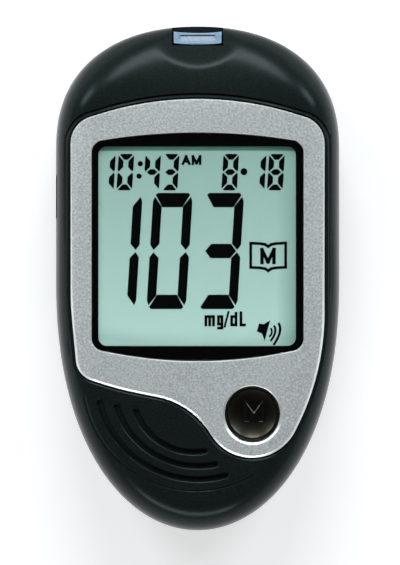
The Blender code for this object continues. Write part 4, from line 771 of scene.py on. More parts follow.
def cell_wrap():
    """A plain printed wrap: a blue sleeve with a light band near each end."""
    made, tree, shader = new_material("cell_wrap")
    along = maths(tree, "SUBTRACT", split_place(tree)["Y"], (CELL_LOW.y + CELL_HIGH.y) / 2 * MM)
    band = spread(tree, maths(tree, "ABSOLUTE", along), 0, 1, 13.8 * MM, 14.0 * MM)
    feed(tree, shader, {
        "Base Color": blended(tree, band, (0.06, 0.13, 0.32), (0.55, 0.56, 0.58)),
        "Roughness": spread(tree, noise(tree, 1.5), 0.25, 0.34),
        "Normal": bumped(tree, noise(tree, 1.2), 0.1, 0.05),
        "Metallic": 0.3,
    })
    return made


HOUSING = finish("housing_plastic", (0.0085, 0.0125, 0.0115), 0.24, bump=0.06, mottle=0.35, spec=0.09,
                 tint=(0.75, 0.95, 1))
REAR = finish("rear_plastic", (0.009, 0.013, 0.0125), 0.42, grain=0.35, bump=0.5, mottle=0.3, spec=0.16)
DOOR = finish("door_plastic", (0.009, 0.013, 0.0125), 0.4, grain=0.35, bump=0.5, mottle=0.3, spec=0.16)
SILVER = silver_paint()
# Painted highlight: a brighter, more metallic silver put on the faceplate's chamfers
SILVER_PAINTED_HIGHLIGHT = finish("silver_painted_highlight", (0.82, 0.84, 0.84), 0.42, 0.9, bump=0.08, mottle=0.04)
BORDER = finish("window_border", (0.0006,) * 3, 0.15, grain=1.0, bump=0.02, mottle=0.05, spec=0.02)
CLEAR = finish("window_clear", (0.96, 0.98, 0.98), 0.02, grain=4.0, bump=0.0005, mottle=0.01, clear=1.0)
GROUND = display_ground_painted_shade()
FIGURES = finish("display_figures", (0.001, 0.0015, 0.0015), 0.2, grain=0.5, bump=0.02, spec=0.02)
BUTTON = finish("button_plastic", (0.0012, 0.0012, 0.001), 0.25, bump=0.05, spec=0.7, tint=(1, 0.93, 0.72))
PORT = finish("port_plastic", (0.18, 0.29, 0.40), 0.3, grain=0.5, bump=0.1, mottle=0.15, spec=0.3)
PORT_SLOT = finish("port_slot_plastic", (0.25, 0.31, 0.4), 0.35, grain=0.4, bump=0.1, mottle=0.12, spec=0.3)
NICKEL = finish("nickel_plate", (0.62, 0.61, 0.58), 0.28, 1.0, grain=0.6, bump=0.15)
STEEL = finish("steel", (0.52, 0.52, 0.52), 0.32, 1.0, grain=0.5, bump=0.2)

# Finishes of the solids that stay
PAINTS = (
    ("lcd_front_glass lcd_reflector", GROUND),
    ("lcd_rear_glass", finish("cell_glass", (0.5, 0.6, 0.56), 0.06, grain=1.0, bump=0.01, mottle=0.02)),
    ("window_gasket", finish("gasket_foam", (0.01, 0.01, 0.01), 0.7, bump=0.5)),
    ("lcd_holder", finish("holder_plastic", (0.72, 0.72, 0.70), 0.5, grain=0.5)),
    ("elastomer_strip_lower elastomer_strip_upper", finish("strip_rubber", (0.2, 0.2, 0.21), 0.7)),
    ("set_button", finish("set_button_plastic", (0.32, 0.33, 0.33), 0.4)),
    ("memory_switch set_switch strip_connector data_port_insert",
     finish("black_plastic", (0.02, 0.02, 0.021), 0.45, grain=0.4, bump=0.4)),
    ("memory_switch_plunger set_switch_plunger", finish("plunger_plastic", (0.2, 0.09, 0.05), 0.4)),
    ("main_board", finish("board_mask", (0.03, 0.18, 0.08), 0.35, grain=0.8, bump=0.2, mottle=0.2)),
    ("controller_chip voice_chip memory_chip", finish("chip_resin", (0.02, 0.02, 0.022), 0.5)),
    ("crystal capacitor", finish("can_metal", (0.62, 0.62, 0.63), 0.28, 1.0)),
    ("strip_contact_1 strip_contact_2 strip_contact_3",
     finish("contact_gold", (0.8, 0.58, 0.22), 0.25, 1.0)),
    ("speaker_gasket", finish("speaker_foam", (0.03, 0.03, 0.03), 0.9, grain=0.2, bump=0.8)),
    ("speaker_frame speaker_magnet", finish("speaker_metal", (0.42, 0.42, 0.43), 0.38, 1.0)),
    ("speaker_cone", finish("cone_film", (0.1, 0.09, 0.08), 0.35)),
    ("speaker_lead_1", finish("lead_red", (0.55, 0.04, 0.03), 0.45)),
    ("speaker_lead_2", finish("lead_black", (0.03, 0.03, 0.03), 0.45)),
    ("battery_cell_1 battery_cell_2", cell_wrap()),
    ("bridge_contact positive_contact negative_contact battery_spring_1 battery_spring_2", NICKEL),
    ("data_port case_screw_1 case_screw_2 case_screw_3 case_screw_4", STEEL),
)


def paint_solids():
    for nodes, made in PAINTS:
        for node in nodes.split():
            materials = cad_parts[node].data.materials
            materials.clear()
            materials.append(made)


# Front pieces


def data_opening():
    """Rectangle in plan that the data port takes out of the side wall, up to its own height."""
    share = (DATA_HIGH.z + GAP - FRONT_BASE_Z) / (FACE_Z - FRONT_BASE_Z)
    reach = depth_for_share(share, FRONT_REACH, FRONT_POWER)
    return rectangle(-HALF_WIDTH - GAP, DATA_LOW.y - GAP, reach - HALF_WIDTH, DATA_HIGH.y + GAP)


def port_notch():
    """Rectangle in plan that the strip port takes out of the end wall."""
    half = PORT_HALF + GAP
    return rectangle(-half, PORT_HIGH.y - PORT_DEPTH - GAP, half, HALF_LENGTH + GAP)


def clipped(loop):
    """The corners of an open rectangle, cut off where it leaves the body."""
    steps = np.linspace(0, 1, CLIP_STEPS)[1:, None]
    sides = [start + (end - start) * steps for start, end in zip(loop, np.roll(loop, -1, axis=0))]
    points = np.concatenate((loop[:1], *sides))
    within = inside(points, shifted(BODY_LOOP, -CLIP_INSET))
    first = next(i for i in range(len(points)) if not within[i - 1] and within[i])
    return np.roll(points, -first, axis=0)[np.roll(within, -first)]


def rings(reach, power, extra=()):
    """Loops of the body's outline down its rounded edge."""
    shares = np.sin(math.pi / 2 * np.arange(EDGE_STEPS + 1) / EDGE_STEPS) ** (2 / power)
    depths = {float(depth_for_share(share, reach, power)) for share in shares} | set(extra)
    return [outline(value) for value in sorted(depths)]


def make_front_skin():
    details = [arc_loop(groove, GROOVE_WIDTH / 2 + reach) for groove in GROOVES for reach in GROOVE_RINGS]
    details.extend(shifted(POCKET_LOOP, reach) for reach in LIP_RINGS)
    opening, notch = data_opening(), port_notch()
    lines = [clipped(opening), clipped(notch)]
    for line in scoop_lines():
        away = line - (0, SCOOP_CENTRE_Y)
        away /= np.linalg.norm(away, axis=1, keepdims=True)
        for offset in SCOOP_OFFSETS:
            beside = line + offset * away
            lines.append(beside[inside(beside, shifted(BODY_LOOP, -LINE_INSET))])
    lines.extend(arc_points(CREASE, reach) for reach in CREASE_LINES)
    inner = outline(FRONT_REACH)
    loops = rings(FRONT_REACH, FRONT_POWER) + details
    loose = grid_points(inner, [inner] + details)
    points, triangles = plan(loops, lines, loose, between(None, POCKET_LOOP, opening, notch))
    return shell(points, triangles, front_z(points), front_plain_z(points))


def make_deck():
    """The floor under the faceplate, open at the display and at the button."""
    hole = circle((BUTTON_X, BUTTON_Y), BUTTON_REACH - BUTTON_FLANGE + GAP, 64)
    edge = shifted(POCKET_LOOP, 2 * GAP)
    loops = [edge, FIELD_LOOP, hole]
    points, triangles = plan(loops, (), grid_points(edge, loops, 2 * GRID), between(*loops))
    top = front_plain_z(points) - PLATE_THICKNESS - GAP
    under_window = inside(points, shifted(WINDOW_LOOP, GAP))
    top = np.where(under_window, np.minimum(top, WINDOW_LOW.z - GAP), top)
    return slab(points, triangles, top, top - DECK_THICKNESS)


def make_front_housing():
    shape = merged([make_front_skin(), make_deck()])
    piece("front_housing_shell", shape, HOUSING, replaces=("front_housing",))


def hole_middle_y(share):
    return BUTTON_Y + HOLE_FOOT_RISE * (1 - share) - HOLE_TOP_SINK * share


def hole_circle(share):
    """The loop round the button's hole at a share of its chamfer, from the foot to the top."""
    radius = HOLE_FOOT_RADIUS + (HOLE_TOP_RADIUS - HOLE_FOOT_RADIUS) * share
    return circle((BUTTON_X, hole_middle_y(share)), radius, BUTTON_SIDES)


def hole_share(points):
    """Share of the button hole's chamfer at which each point lies, by the same loops."""
    share = np.zeros(len(points))
    for _ in range(HOLE_PASSES):
        reach = np.hypot(points[:, 0] - BUTTON_X, points[:, 1] - hole_middle_y(share))
        share = np.clip((reach - HOLE_FOOT_RADIUS) / (HOLE_TOP_RADIUS - HOLE_FOOT_RADIUS), 0, 1)
    return share


def hole_depth(points):
    """Depth of the button hole's chamfer, shallow where it is narrow."""
    across = points - (BUTTON_X, BUTTON_Y)
    side = across[:, 1] / np.maximum(np.linalg.norm(across, axis=1), 0.1)
    return HOLE_DROP * (HOLE_DROP_SHARES[0] - HOLE_DROP_SHARES[1] * side)


def plate_edge_width(y):
    return PLATE_EDGE + (PLATE_EDGE_TOP - PLATE_EDGE) * smooth(np.interp(y, PLATE_EDGE_Y, (0, 1)))


def on_painted_highlight(points):
    """Whether points take the painted highlight: on the faceplate's chamfer below its top, or on that of its
    button hole.
    """
    rim = line_distance(points, PLATE_LOOP) < PAINTED_HIGHLIGHT_SHARE * plate_edge_width(points[:, 1])
    share = hole_share(points)
    round_hole = (share > HOLE_PAINTED_HIGHLIGHT_SHARES[0]) & (share < HOLE_PAINTED_HIGHLIGHT_SHARES[1])
    return (rim & (points[:, 1] < PLATE_EDGE_Y[1])) | round_hole


def make_faceplate():
    """The silver plate, with a painted highlight in brighter silver on the chamfers along its rim below the
    top and round the button's hole.
    """
    widths = plate_edge_width(PLATE_LOOP[:, 1])
    loops = [shifted(PLATE_LOOP, -widths * share) for share in CHAMFER_SHARES]
    loops.extend(shifted(OPENING_LOOP, OPENING_EDGE * share) for share in OPENING_SHARES)
    loops.extend(hole_circle(share) for share in CHAMFER_SHARES)
    keep = between(PLATE_LOOP, OPENING_LOOP, hole_circle(0))
    points, triangles = plan(loops, (), grid_points(PLATE_LOOP, loops), keep)
    plain = front_plain_z(points) + PLATE_PROUD
    width = plate_edge_width(points[:, 1])
    drop = PLATE_EDGE_DROP * np.sqrt(width / PLATE_EDGE)
    drop *= chamfer_share(line_distance(points, PLATE_LOOP) / width)
    drop = np.maximum(drop, quarter_drop(line_distance(points, OPENING_LOOP), OPENING_EDGE))
    drop = np.maximum(drop, hole_depth(points) * chamfer_share(hole_share(points)))
    shape = slab(points, triangles, plain - drop, plain - PLATE_THICKNESS)
    plate = piece("faceplate_silver", shape, SILVER, replaces=("faceplate",))
    # The upward chamfer faces below the top edge and round the button's hole take the painted highlight.
    plate.data.materials.append(SILVER_PAINTED_HIGHLIGHT)
    faces = plate.data.polygons
    centres = np.array([tuple(face.center) for face in faces]) / MM
    upwards = np.array([face.normal.z for face in faces]) > 0.2
    painted_highlight_faces = upwards & on_painted_highlight(centres[:, :2])
    faces.foreach_set("material_index", painted_highlight_faces.astype(np.int32))


def make_window():
    """The lens, and the black border printed on its underside."""
    loops = [shifted(WINDOW_LOOP, -WINDOW_EDGE * 2), FIELD_LOOP]
    border = slab(*plan(loops, keep=between(None, FIELD_LOOP)), WINDOW_LOW.z, WINDOW_LOW.z - BORDER_PRINT)
    piece("window_border", border, BORDER)
    loops = [shifted(WINDOW_LOOP, -WINDOW_EDGE * share) for share in ROUND_SHARES]
    points, triangles = plan(loops, keep=between(WINDOW_LOOP))
    drop = quarter_drop(line_distance(points, WINDOW_LOOP), WINDOW_EDGE)
    pane = slab(points, triangles, WINDOW_HIGH.z - drop, WINDOW_LOW.z + PANE_LIFT)
    made = piece("window_pane", pane, CLEAR, replaces=("display_window",))
    made.visible_shadow = False
    made.visible_diffuse = False


def mark_line():
    """The middle line of the raised M on the button, for memory."""
    half = (MARK_SIZE - MARK_STROKE) / 2
    x, y = BUTTON_X + MARK_SHIFT[0], BUTTON_Y + MARK_SHIFT[1]
    line = np.array(((-1, -1), (-1, 1), (0, -MARK_DIP_SHARE), (1, 1), (1, -1)))
    return line * half + (x, y)


def mark_loop(wall):
    """The outline of the mark with mitred bends, moved outwards by a wall's width."""
    line = mark_line()
    along = np.diff(line, axis=0)
    along /= np.linalg.norm(along, axis=1, keepdims=True)
    side = np.column_stack((along[:, 1], -along[:, 0]))
    bisector = np.concatenate((side[:1], side)) + np.concatenate((side, side[-1:]))
    bisector *= 2 / (bisector**2).sum(axis=1, keepdims=True)
    line[0] -= along[0] * wall
    line[-1] += along[-1] * wall
    reach = bisector * (MARK_STROKE / 2 + wall)
    return np.concatenate((line + reach, (line - reach)[::-1]))


def make_button():
    """The dished cap with its raised mark, its rounded rim and its flange under the faceplate."""
    centre = np.array((BUTTON_X, BUTTON_Y + HOLE_FOOT_RISE))
    dish = BUTTON_RADIUS - 2 * BUTTON_RIM
    marks = [mark_loop(wall) for wall in (0, MARK_WALL)]
    bend = np.linspace(0, math.pi / 2, 5)
    reaches = [BUTTON_RADIUS - BUTTON_RIM * (1 - math.cos(turn)) for turn in bend]
    reaches += [BUTTON_RADIUS - 2 * BUTTON_RIM * share for share in BUTTON_RIM_SHARES]
    reaches += [dish * share for share in BUTTON_DISH_SHARES]
    loops = [circle(centre, reach, BUTTON_SIDES) for reach in reaches] + marks
    loose = grid_points(circle(centre, dish * BUTTON_GRID_SHARE, BUTTON_SIDES // 2), marks, BUTTON_GRID)
    points, triangles = plan(loops, (), loose)
    away = np.linalg.norm(points - centre, axis=1)
    z = BUTTON_HIGH.z - BUTTON_DISH * np.clip(1 - (away / dish) ** 2, 0, 1)
    z -= quarter_drop(BUTTON_RADIUS - away, BUTTON_RIM)
    z -= BUTTON_LEAN * (points[:, 1] - centre[1] + BUTTON_RADIUS)
    raised = inside(points, marks[1]) * np.clip(line_distance(points, marks[1]) / MARK_WALL, 0, 1)
    low, high = BUTTON_LOW.z, BUTTON_LOW.z + BUTTON_FLANGE + GAP
    cap = slab(points, triangles, z + MARK_HEIGHT * raised, high)
    shape = merged((cap, disc((BUTTON_X, BUTTON_Y), BUTTON_REACH, low, high)))
    piece("memory_button_dish", shape, BUTTON, "memory_button", ("memory_button",))


def make_port():
    """The strip port's insert, hollowed like the end round it, with its bowed lower edge and its slot."""
    inner, outer = PORT_HIGH.y - PORT_DEPTH, PORT_HIGH.y - PORT_TOP_ROOM
    steps = np.linspace(-1, 1, PORT_BOW_STEPS)
    bow = PORT_BOW * (1 - steps**2)
    lower = np.column_stack((PORT_HALF * steps, inner - bow + PORT_BOW / 2))
    upper = np.column_stack((PORT_HALF * steps[::-1], outer - bow))
    body = np.concatenate((lower, upper))
    half = PORT_HALF * SLOT_HALF_SHARE
    opening = rectangle(-half, inner + SLOT_SPAN[0], half, inner + SLOT_SPAN[1])
    slot = rounded([(x, y, SLOT_CORNER_RADIUS) for x, y in opening])
    loops = [shifted(body, -PORT_EDGE * share) for share in ROUND_SHARES]
    loops.extend(shifted(slot, PORT_EDGE * share) for share in ROUND_SHARES)
    points, triangles = plan(loops, keep=between(body, slot))
    drop = quarter_drop(np.minimum(line_distance(points, body), line_distance(points, slot)), PORT_EDGE)
    top = np.minimum(scoop_z(points), PORT_HIGH.z) - drop
    insert = slab(points, triangles, top, FRONT_BASE_Z)
    piece("strip_port_insert", insert, PORT, replaces=("strip_port",))
    points, triangles = plan([slot], keep=between(slot))
    floor = slab(points, triangles, scoop_z(points) - SLOT_DEPTH, FRONT_BASE_Z)
    piece("strip_port_slot", floor, PORT_SLOT)


# Display figures

FIGURE_THICKNESS = 0.03
SLANT = math.tan(math.radians(3.5))
SEGMENTS = {"0": "abcdef", "1": "bc", "3": "abcdg", "4": "bcfg", "8": "abcdefg"}

# Sizes of the figures, as (foot, width, height, stroke, bar, cut), and each figure with its left side
LARGE = (-5.78, 7.48, 21.97, 1.72, 2.7, 0.0)
LARGE_FIGURES = (("1", -13.47), ("0", -9.72), ("3", 0.02))
SMALL = (16.7, 2.95, 6.88, 1.0, 1.08, 1.0)
SMALL_FIGURES = (
    ("1", -16.91), ("0", -15.38), ("4", -10.3), ("3", -6.79), ("8", 4.5), ("1", 11.66), ("8", 13.16),
)
DOTS = ((-10.86, 21.72, 0.5), (-11.1, 19.36, 0.5), (8.8, 20.22, 0.66))
DOT_SIDES = 20

# Lines of the block letters over a unit square, and each letter as (left, foot, width, height, stroke)
LETTER_LINES = {
    "A": [((0, 0), (0.5, 1), (1, 0)), ((0.2, 0.3), (0.8, 0.3))],
    "M": [((0, 0), (0, 1), (0.5, 0.05), (1, 1), (1, 0))],
    "L": [((0, 1), (0, 0), (1, 0))],
    "d": [((1, 1.4), (1, 0), (0, 0), (0, 1), (1, 1))],
    "g": [((1, 0.1), (0, 0.1), (0, 1), (1, 1), (1, -0.38), (0, -0.38))],
    "m": [((0, 0), (0, 1), (1, 1), (1, 0)), ((0.5, 1), (0.5, 0))],
    "/": [((0, -0.1), (1, 1.45))],
}
LETTERS = (
    ("A", -3.02, 21.5, 1.7, 1.85, 0.48),
    ("M", -1.13, 21.5, 1.85, 1.85, 0.48),
    ("m", 1.31, -9.05, 1.97, 2.09, 0.52),
    ("g", 3.7, -9.05, 1.18, 2.09, 0.52),
    ("d", 6.21, -9.05, 1.34, 2.09, 0.52),
    ("L", 7.97, -9.05, 1.18, 2.82, 0.52),
    ("/", 4.95, -9.1, 1.1, 2.15, 0.38),
    ("M", 11.87, 2.69, 2.93, 3.07, 0.66),
)

# The open book, and the loudspeaker's cone and its sound waves as (start, middle, end, width)
BOOK = (10.08, 16.68, 2.1, 6.69)
BOOK_STROKE = 0.52
BOOK_FOLD = ((1.5, -0.1), (0.6, -0.26), (0, -0.66), (-0.6, -0.26), (-1.5, -0.1))
SPEAKER_CONE = (
    (11.66, -8.5), (12.5, -8.71), (13.76, -7.93), (13.26, -9.76), (12.71, -11.85), (12.22, -10.44),
    (11.24, -10.02),
)
SOUND_WAVES = (
    ((13.92, -9.55), (14.06, -10.25), (13.68, -10.95), 0.34),
    ((14.56, -9.1), (14.66, -10.3), (13.95, -11.7), 0.4),
    ((15.42, -8.65), (15.55, -10.3), (14.5, -12.45), 0.44),
)
WAVE_POINTS = 9


def digit_polygons(figure, left, foot, width, height, stroke, bar, cut):
    """Seven-segment strokes of a figure in plan. A cut of 1 sets their inner corners further back than 0."""
    half = height / 2
    split = 0.06 * bar + 0.05
    upright = (
        (0, -(0.95 + 0.3 * cut) * bar),
        ((0.8 + 0.15 * cut) * stroke, -0.27 * bar),
        (stroke, -0.6 * bar),
        (stroke, -half + (0.36 - 0.1 * cut) * bar + split),
        ((0.6 + 0.2 * cut) * stroke, -half + split),
        (0, -half + (0.42 + 0.35 * cut) * bar + split),
    )
    across = (
        (0.28 * stroke, -0.14 * bar), (0.5 * stroke, 0), (width - 0.5 * stroke, 0),
        (width - 0.28 * stroke, -0.14 * bar), (width - 1.08 * stroke, -bar), (1.08 * stroke, -bar),
    )
    dash = (
        (0.45 * stroke, 0), (1.05 * stroke, bar / 2), (width - 1.1 * stroke, bar / 2),
        (width - 0.5 * stroke, 0), (width - 1.1 * stroke, -bar / 2), (1.05 * stroke, -bar / 2),
    )
    right = 0 if figure == "1" else width - stroke
    shapes = {
        "a": [(x, height + y) for x, y in across],
        "b": [(right + x, height + y) for x, y in upright],
        "c": [(right + x, -y) for x, y in upright],
        "d": [(x, -y) for x, y in across],
        "e": [(stroke - x, -y) for x, y in upright],
        "f": [(stroke - x, height + y) for x, y in upright],
        "g": [(x, half + y) for x, y in dash],
    }
    return [
        np.array([(left + x + SLANT * y, foot + y) for x, y in shapes[name]]) for name in SEGMENTS[figure]
    ]


def stroke_polygons(points, width, closed=False):
    """A line of even width, as one quad for each of its parts."""
    points = np.array(points, float)
    ends = np.roll(points, -1, axis=0) if closed else points[1:]
    shapes = []
    for start, end in zip(points, ends):
        reach = (end - start) / np.linalg.norm(end - start) * width / 2
        side = np.array((-reach[1], reach[0]))
        corners = (start - side - reach, end - side + reach, end + side + reach, start + side - reach)
        shapes.append(np.array(corners))
    return shapes


def letter_polygons(letter, left, foot, width, height, stroke):
    """A plain block letter in strokes, over its outer size."""
    shapes = []
    for line in LETTER_LINES[letter]:
        x0, y0 = left + stroke / 2, foot + stroke / 2
        points = [(x0 + (width - stroke) * x, y0 + (height - stroke) * y) for x, y in line]
        shapes.extend(stroke_polygons(points, stroke))
    return shapes


def book_polygons():
    """The sign for the memory: an open book, drawn round an M."""
    left, right, foot, top = BOOK
    fold_x = (left + right) / 2
    points = [(left, foot)] + [(fold_x - x, foot + y) for x, y in BOOK_FOLD]
    points += [(right, foot), (right, top)] + [(fold_x + x, top + y) for x, y in BOOK_FOLD] + [(left, top)]
    return stroke_polygons(points, BOOK_STROKE, True)


def bowed(start, peak, end):
    """Points along a smooth curve through three points."""
    share = np.linspace(0, 1, WAVE_POINTS)[:, None]
    first = 2 * (share - 0.5) * (share - 1)
    second = 4 * share * (1 - share)
    third = 2 * share * (share - 0.5)
    return first * np.array(start) + second * np.array(peak) + third * np.array(end)


def figure_solids(shapes):
    """Thin flat solids over the shapes, on the display's film."""
    parts = []
    for shape in shapes:
        count = len(shape)
        after = np.roll(shape, -1, axis=0)
        area = (shape[:, 0] * after[:, 1] - after[:, 0] * shape[:, 1]).sum()
        ordered = shape if area > 0 else shape[::-1]
        faces = [tuple(range(count)), tuple(range(2 * count - 1, count - 1, -1))]
        faces.extend(((i + 1) % count, i, i + count, (i + 1) % count + count) for i in range(count))
        ends = stacked(ordered, FILM_Z + FIGURE_THICKNESS), stacked(ordered, FILM_Z)
        parts.append((np.concatenate(ends), faces))
    return merged(parts)


def make_film():
    """The polarising film that lies on the display's front glass, as its visible ground, with the ground's
    painted light and shade.
    """
    film = slab(*plan([shifted(FIELD_LOOP, -FILM_INSET)]), FILM_Z, GLASS_HIGH.z + FILM_LIFT)
    piece("display_film", film, GROUND)


def make_figures():
    shapes = []
    for size, figures in ((LARGE, LARGE_FIGURES), (SMALL, SMALL_FIGURES)):
        for figure, left in figures:
            shapes.extend(digit_polygons(figure, left, *size))
    for x, y, radius in DOTS:
        shapes.append(circle((x, y), radius, DOT_SIDES))
    for letter in LETTERS:
        shapes.extend(letter_polygons(*letter))
    shapes.extend(book_polygons())
    shapes.append(np.array(SPEAKER_CONE))
    for *curve, width in SOUND_WAVES:
        shapes.extend(stroke_polygons(bowed(*curve), width))
    piece("display_figures", figure_solids(shapes), FIGURES)


# Rear pieces


def tail_depth(growth):
    """Depth inside the outline at which the rear face is as high as the door's tail and a growth."""
    return float(depth_for_share(1 - (DOOR_HIGH.z + growth) / REAR_BASE_Z, REAR_REACH, REAR_POWER))


def door_region(points, growth):
    """Whether points lie on the battery door, or with a growth in the room left for it."""
    within = (np.abs(points[:, 0]) < DOOR_HALF_WIDTH + growth) & (points[:, 1] < DOOR_HIGH.y + growth)
    return within & (depth(points) > tail_depth(growth))


def door_lines(growth):
    half, top = DOOR_HALF_WIDTH + growth, DOOR_HIGH.y + growth
    y = np.linspace(DOOR_SIDE_FOOT, top, DOOR_SIDE_STEPS)
    side = np.column_stack((np.full(len(y), half), y))
    side = side[inside(side, shifted(BODY_LOOP, -CLIP_INSET))]
    across = stacked(np.linspace(-half, half, DOOR_TOP_STEPS), top)
    return [side, side * (-1, 1), across]


def rear_plan(growth, details, spacing, keep):
    """Points and triangles of the rear face, with the door's edge moved outwards by a growth."""
    loops = rings(REAR_REACH, REAR_POWER, (tail_depth(growth),)) + details
    inner = outline(REAR_REACH)
    return plan(loops, door_lines(growth), grid_points(inner, [inner] + details, spacing), keep)


def stadium(half, centre_y, distance, steps=8):
    """The closed loop at a distance round a line across the body, with round ends."""
    bend = math.pi * np.arange(steps + 1) / steps
    right = np.column_stack((half + distance * np.sin(bend), centre_y - distance * np.cos(bend)))
    return np.concatenate((right, (0, 2 * centre_y) - right))


def make_door():
    """The battery door with its grip grooves."""
    rows = [GRIP_START_Y + index * GRIP_PITCH + GRIP_WIDTH / 2 for index in range(GRIP_COUNT)]
    reaches = [GRIP_WIDTH / 2 + step * GRIP_WALL for step in GRIP_RINGS]
    details = [stadium(GRIP_HALF, y, reach) for y in rows for reach in reaches]
    points, triangles = rear_plan(0, details, 2 * GRIP_WIDTH, lambda centres: door_region(centres, 0))
    plain = rear_plain_z(points)
    z = plain.copy()
    for y in rows:
        line = np.array(((-GRIP_HALF, y), (GRIP_HALF, y)))
        from_edge = GRIP_WIDTH / 2 - line_distance(points, line, False)
        z += GRIP_DEPTH * np.clip(from_edge / GRIP_WALL, 0, 1)
    shape = shell(points, triangles, z, plain, True)
    piece("battery_door_cover", shape, DOOR, "battery_door", ("battery_door",))


def speaker_slots():
    """The slots in front of the speaker, shorter towards its sides."""
    low, high = box_mm("speaker_gasket")
    radius = (high.x - low.x) / 2
    slots = []
    for index in range(-2, 3):
        y = index * radius * SOUND_SLOT_PITCH_SHARE
        half = math.sqrt((radius - SOUND_SLOT_ROOM) ** 2 - y**2) - SOUND_SLOT_REACH
        slots.append(stadium(half, middle(low, high)[1] + y, SOUND_SLOT_REACH))
    return slots


def screw_well(centre, radius, floor):
    """The open tube that a case screw stands in, with a floor round its shank."""
    profile = (
        (radius, WELL_FOOT), (radius + WELL_WALL, WELL_FOOT), (radius + WELL_WALL, floor + WELL_FLOOR),
        (WELL_HOLE_RADIUS, floor + WELL_FLOOR), (WELL_HOLE_RADIUS, floor), (radius, floor),
    )
    return loft([stacked(circle(centre, reach, WELL_SIDES), z) for reach, z in profile])


def make_rear_housing():
    """The rear shell round the door's room, with its wells, slots, lip and battery bay."""
    screws = [box_mm(f"case_screw_{index}") for index in (1, 2, 3, 4)]
    bores = [(middle(low, high), (high.x - low.x) / 2 + GAP) for low, high in screws]
    holes = [circle(*bore, WELL_SIDES) for bore in bores] + speaker_slots()
    clear = between(None, *holes)

    def keep(centres):
        return clear(centres) & ~door_region(centres, GAP)

    points, triangles = rear_plan(GAP, holes, 2 * GRID, keep)
    plain = rear_plain_z(points)
    drop = np.max([quarter_drop(line_distance(points, hole), HOLE_ROUNDING) for hole in holes], axis=0)
    parts = [shell(points, triangles, plain + drop, plain, True)]
    floor = screws[0][0].z + WELL_FLOOR_RISE + GAP
    parts.extend(screw_well(*bore, floor) for bore in bores)
    parts.append(make_seam_lip())
    parts.extend(make_bay())
    piece("rear_housing_shell", merged(parts), REAR, replaces=("rear_housing",))


def make_seam_lip():
    """The lip behind the seam between the two housings."""
    inset = WALL + GAP
    section = rectangle(
        inset, REAR_BASE_Z - SEAM_LIP_FOOT, inset + SEAM_LIP_WIDTH, FRONT_BASE_Z + SEAM_LIP_WIDTH)
    return loft([stacked(outline(reach), z) for reach, z in section])


def make_bay():
    """The battery bay: ledge, walls and roof, which show when the door is drawn back."""
    side = DOOR_HALF_WIDTH - BAY_SIDE_ROOM
    low_y = box_mm("bridge_contact")[0].y - GAP
    high_y = box_mm("positive_contact")[1].y + GAP
    ledge_z = WALL + GAP
    roof_z = CELL_HIGH.z + GAP

    def room(growth):
        return rectangle(-side - growth, low_y - growth, side + growth, high_y + growth)

    reach = side + BAY_LEDGE_BESIDE
    outer = rectangle(-reach, low_y - BAY_WALL, reach, DOOR_HIGH.y + BAY_LEDGE_BEYOND)
    hole = circle(middle(*box_mm("set_button")), BAY_HOLE_RADIUS, 32)
    ledge = plan([outer, room(0), hole], keep=between(None, room(0), hole))
    walls = plan([room(BAY_WALL), room(0)], keep=between(None, room(0)))
    return [
        slab(*ledge, ledge_z + BAY_LEDGE_THICKNESS, ledge_z),
        slab(*walls, roof_z + BAY_WALL, ledge_z + BAY_WALL_RISE),
        slab(*plan([room(BAY_WALL / 2)]), roof_z + BAY_WALL, roof_z),
    ]


# Camera, light and floor

VIEW_HEIGHT = 107.68
VIEW_CENTRE = (0.457, -0.781)
CAMERA_HEIGHT = 2.5
SENSOR_HEIGHT = 24.0
FLOOR_REACH = 4.0
FLOOR_DROP = 0.0001
FLOOR_LIFT = 0.42
COOL = (0.86, 0.95, 1.0)
NEUTRAL = (0.97, 0.99, 1.0)

# Lamps, each aimed at the origin, as (name, place, size, watts, colour)
LAMPS = (
    ("key", (0, 0.65, 0.375), (0.36, 0.19), 3.2, NEUTRAL),
    ("left", (-0.46, 0.46, 0.375), (0.3, 0.19), 2.0, COOL),
    ("right", (0.46, 0.46, 0.375), (0.3, 0.19), 2.0, COOL),
    ("foot", (-0.1, -0.77, 0.32), (1.0, 0.17), 4.6, NEUTRAL),
)


def placed(name, data, place):
    made = bpy.data.objects.new(name, data)
    made.location = place
    bpy.context.scene.collection.objects.link(made)
    return made


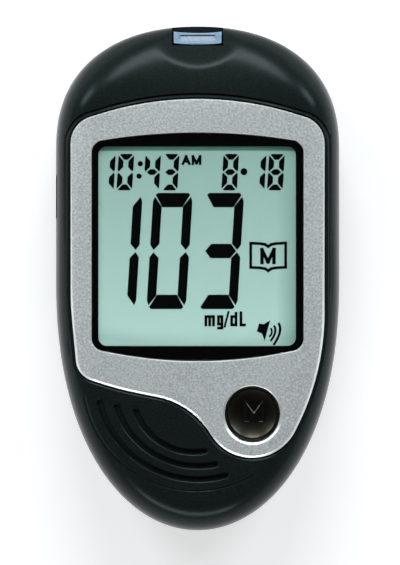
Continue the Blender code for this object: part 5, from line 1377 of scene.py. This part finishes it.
def add_camera():
    camera = bpy.data.cameras.new("camera")
    camera.sensor_fit = "VERTICAL"
    camera.sensor_height = SENSOR_HEIGHT
    camera.lens = SENSOR_HEIGHT * (CAMERA_HEIGHT - FACE_Z * MM / 2) / (VIEW_HEIGHT * MM)
    camera.clip_start = 0.1
    camera.clip_end = 20
    place = (VIEW_CENTRE[0] * MM, VIEW_CENTRE[1] * MM, CAMERA_HEIGHT)
    bpy.context.scene.camera = placed("camera", camera, place)


def add_lamp(name, place, size, watts, colour):
    lamp = bpy.data.lights.new(name, "AREA")
    lamp.shape = "RECTANGLE"
    lamp.size, lamp.size_y = size
    lamp.energy = watts
    lamp.color = colour
    made = placed(name, lamp, place)
    made.rotation_euler = Vector(place).to_track_quat("Z", "Y").to_euler()
    made.visible_camera = False


def add_world():
    """Soft light from the sides, fading out towards the top."""
    world = bpy.data.worlds.new("studio")
    world.use_nodes = True
    tree = world.node_tree
    strength = spread(tree, split_place(tree, "Generated")["Z"], 0.4, 0.02, 0.3, 0.75)
    feed(tree, tree.nodes["Background"], {"Color": (1, 1, 1), "Strength": strength})
    bpy.context.scene.world = world


def add_floor():
    """A pale floor that takes the shadow, and looks a little brighter to the camera and in mirrors."""
    mesh = bpy.data.meshes.new("floor")
    corners = stacked(rectangle(-FLOOR_REACH, -FLOOR_REACH, FLOOR_REACH, FLOOR_REACH), 0)
    mesh.from_pydata(corners.tolist(), [], [(0, 1, 2, 3)])
    made, tree, shader = new_material("floor_white")
    rays = tree.nodes.new("ShaderNodeLightPath").outputs
    mirrored = maths(tree, "MAXIMUM", rays["Is Glossy Ray"], rays["Is Transmission Ray"])
    seen = maths(tree, "MAXIMUM", rays["Is Camera Ray"], mirrored)
    feed(tree, shader, {
        "Base Color": (0.86, 0.86, 0.86),
        "Roughness": 0.9,
        "Specular IOR Level": 0.0,
        "Emission Color": (1, 1, 1),
        "Emission Strength": maths(tree, "MULTIPLY", seen, FLOOR_LIFT),
    })
    mesh.materials.append(made)
    placed("floor", mesh, (0, 0, -FLOOR_DROP))


def main():
    add_camera()
    for lamp in LAMPS:
        add_lamp(*lamp)
    add_world()
    add_floor()
    for make in (
        make_front_housing, make_faceplate, make_window, make_button, make_port, make_film, make_figures,
        make_door, make_rear_housing,
    ):
        make()
    paint_solids()
    bpy.context.scene.view_settings.view_transform = "Standard"


main()
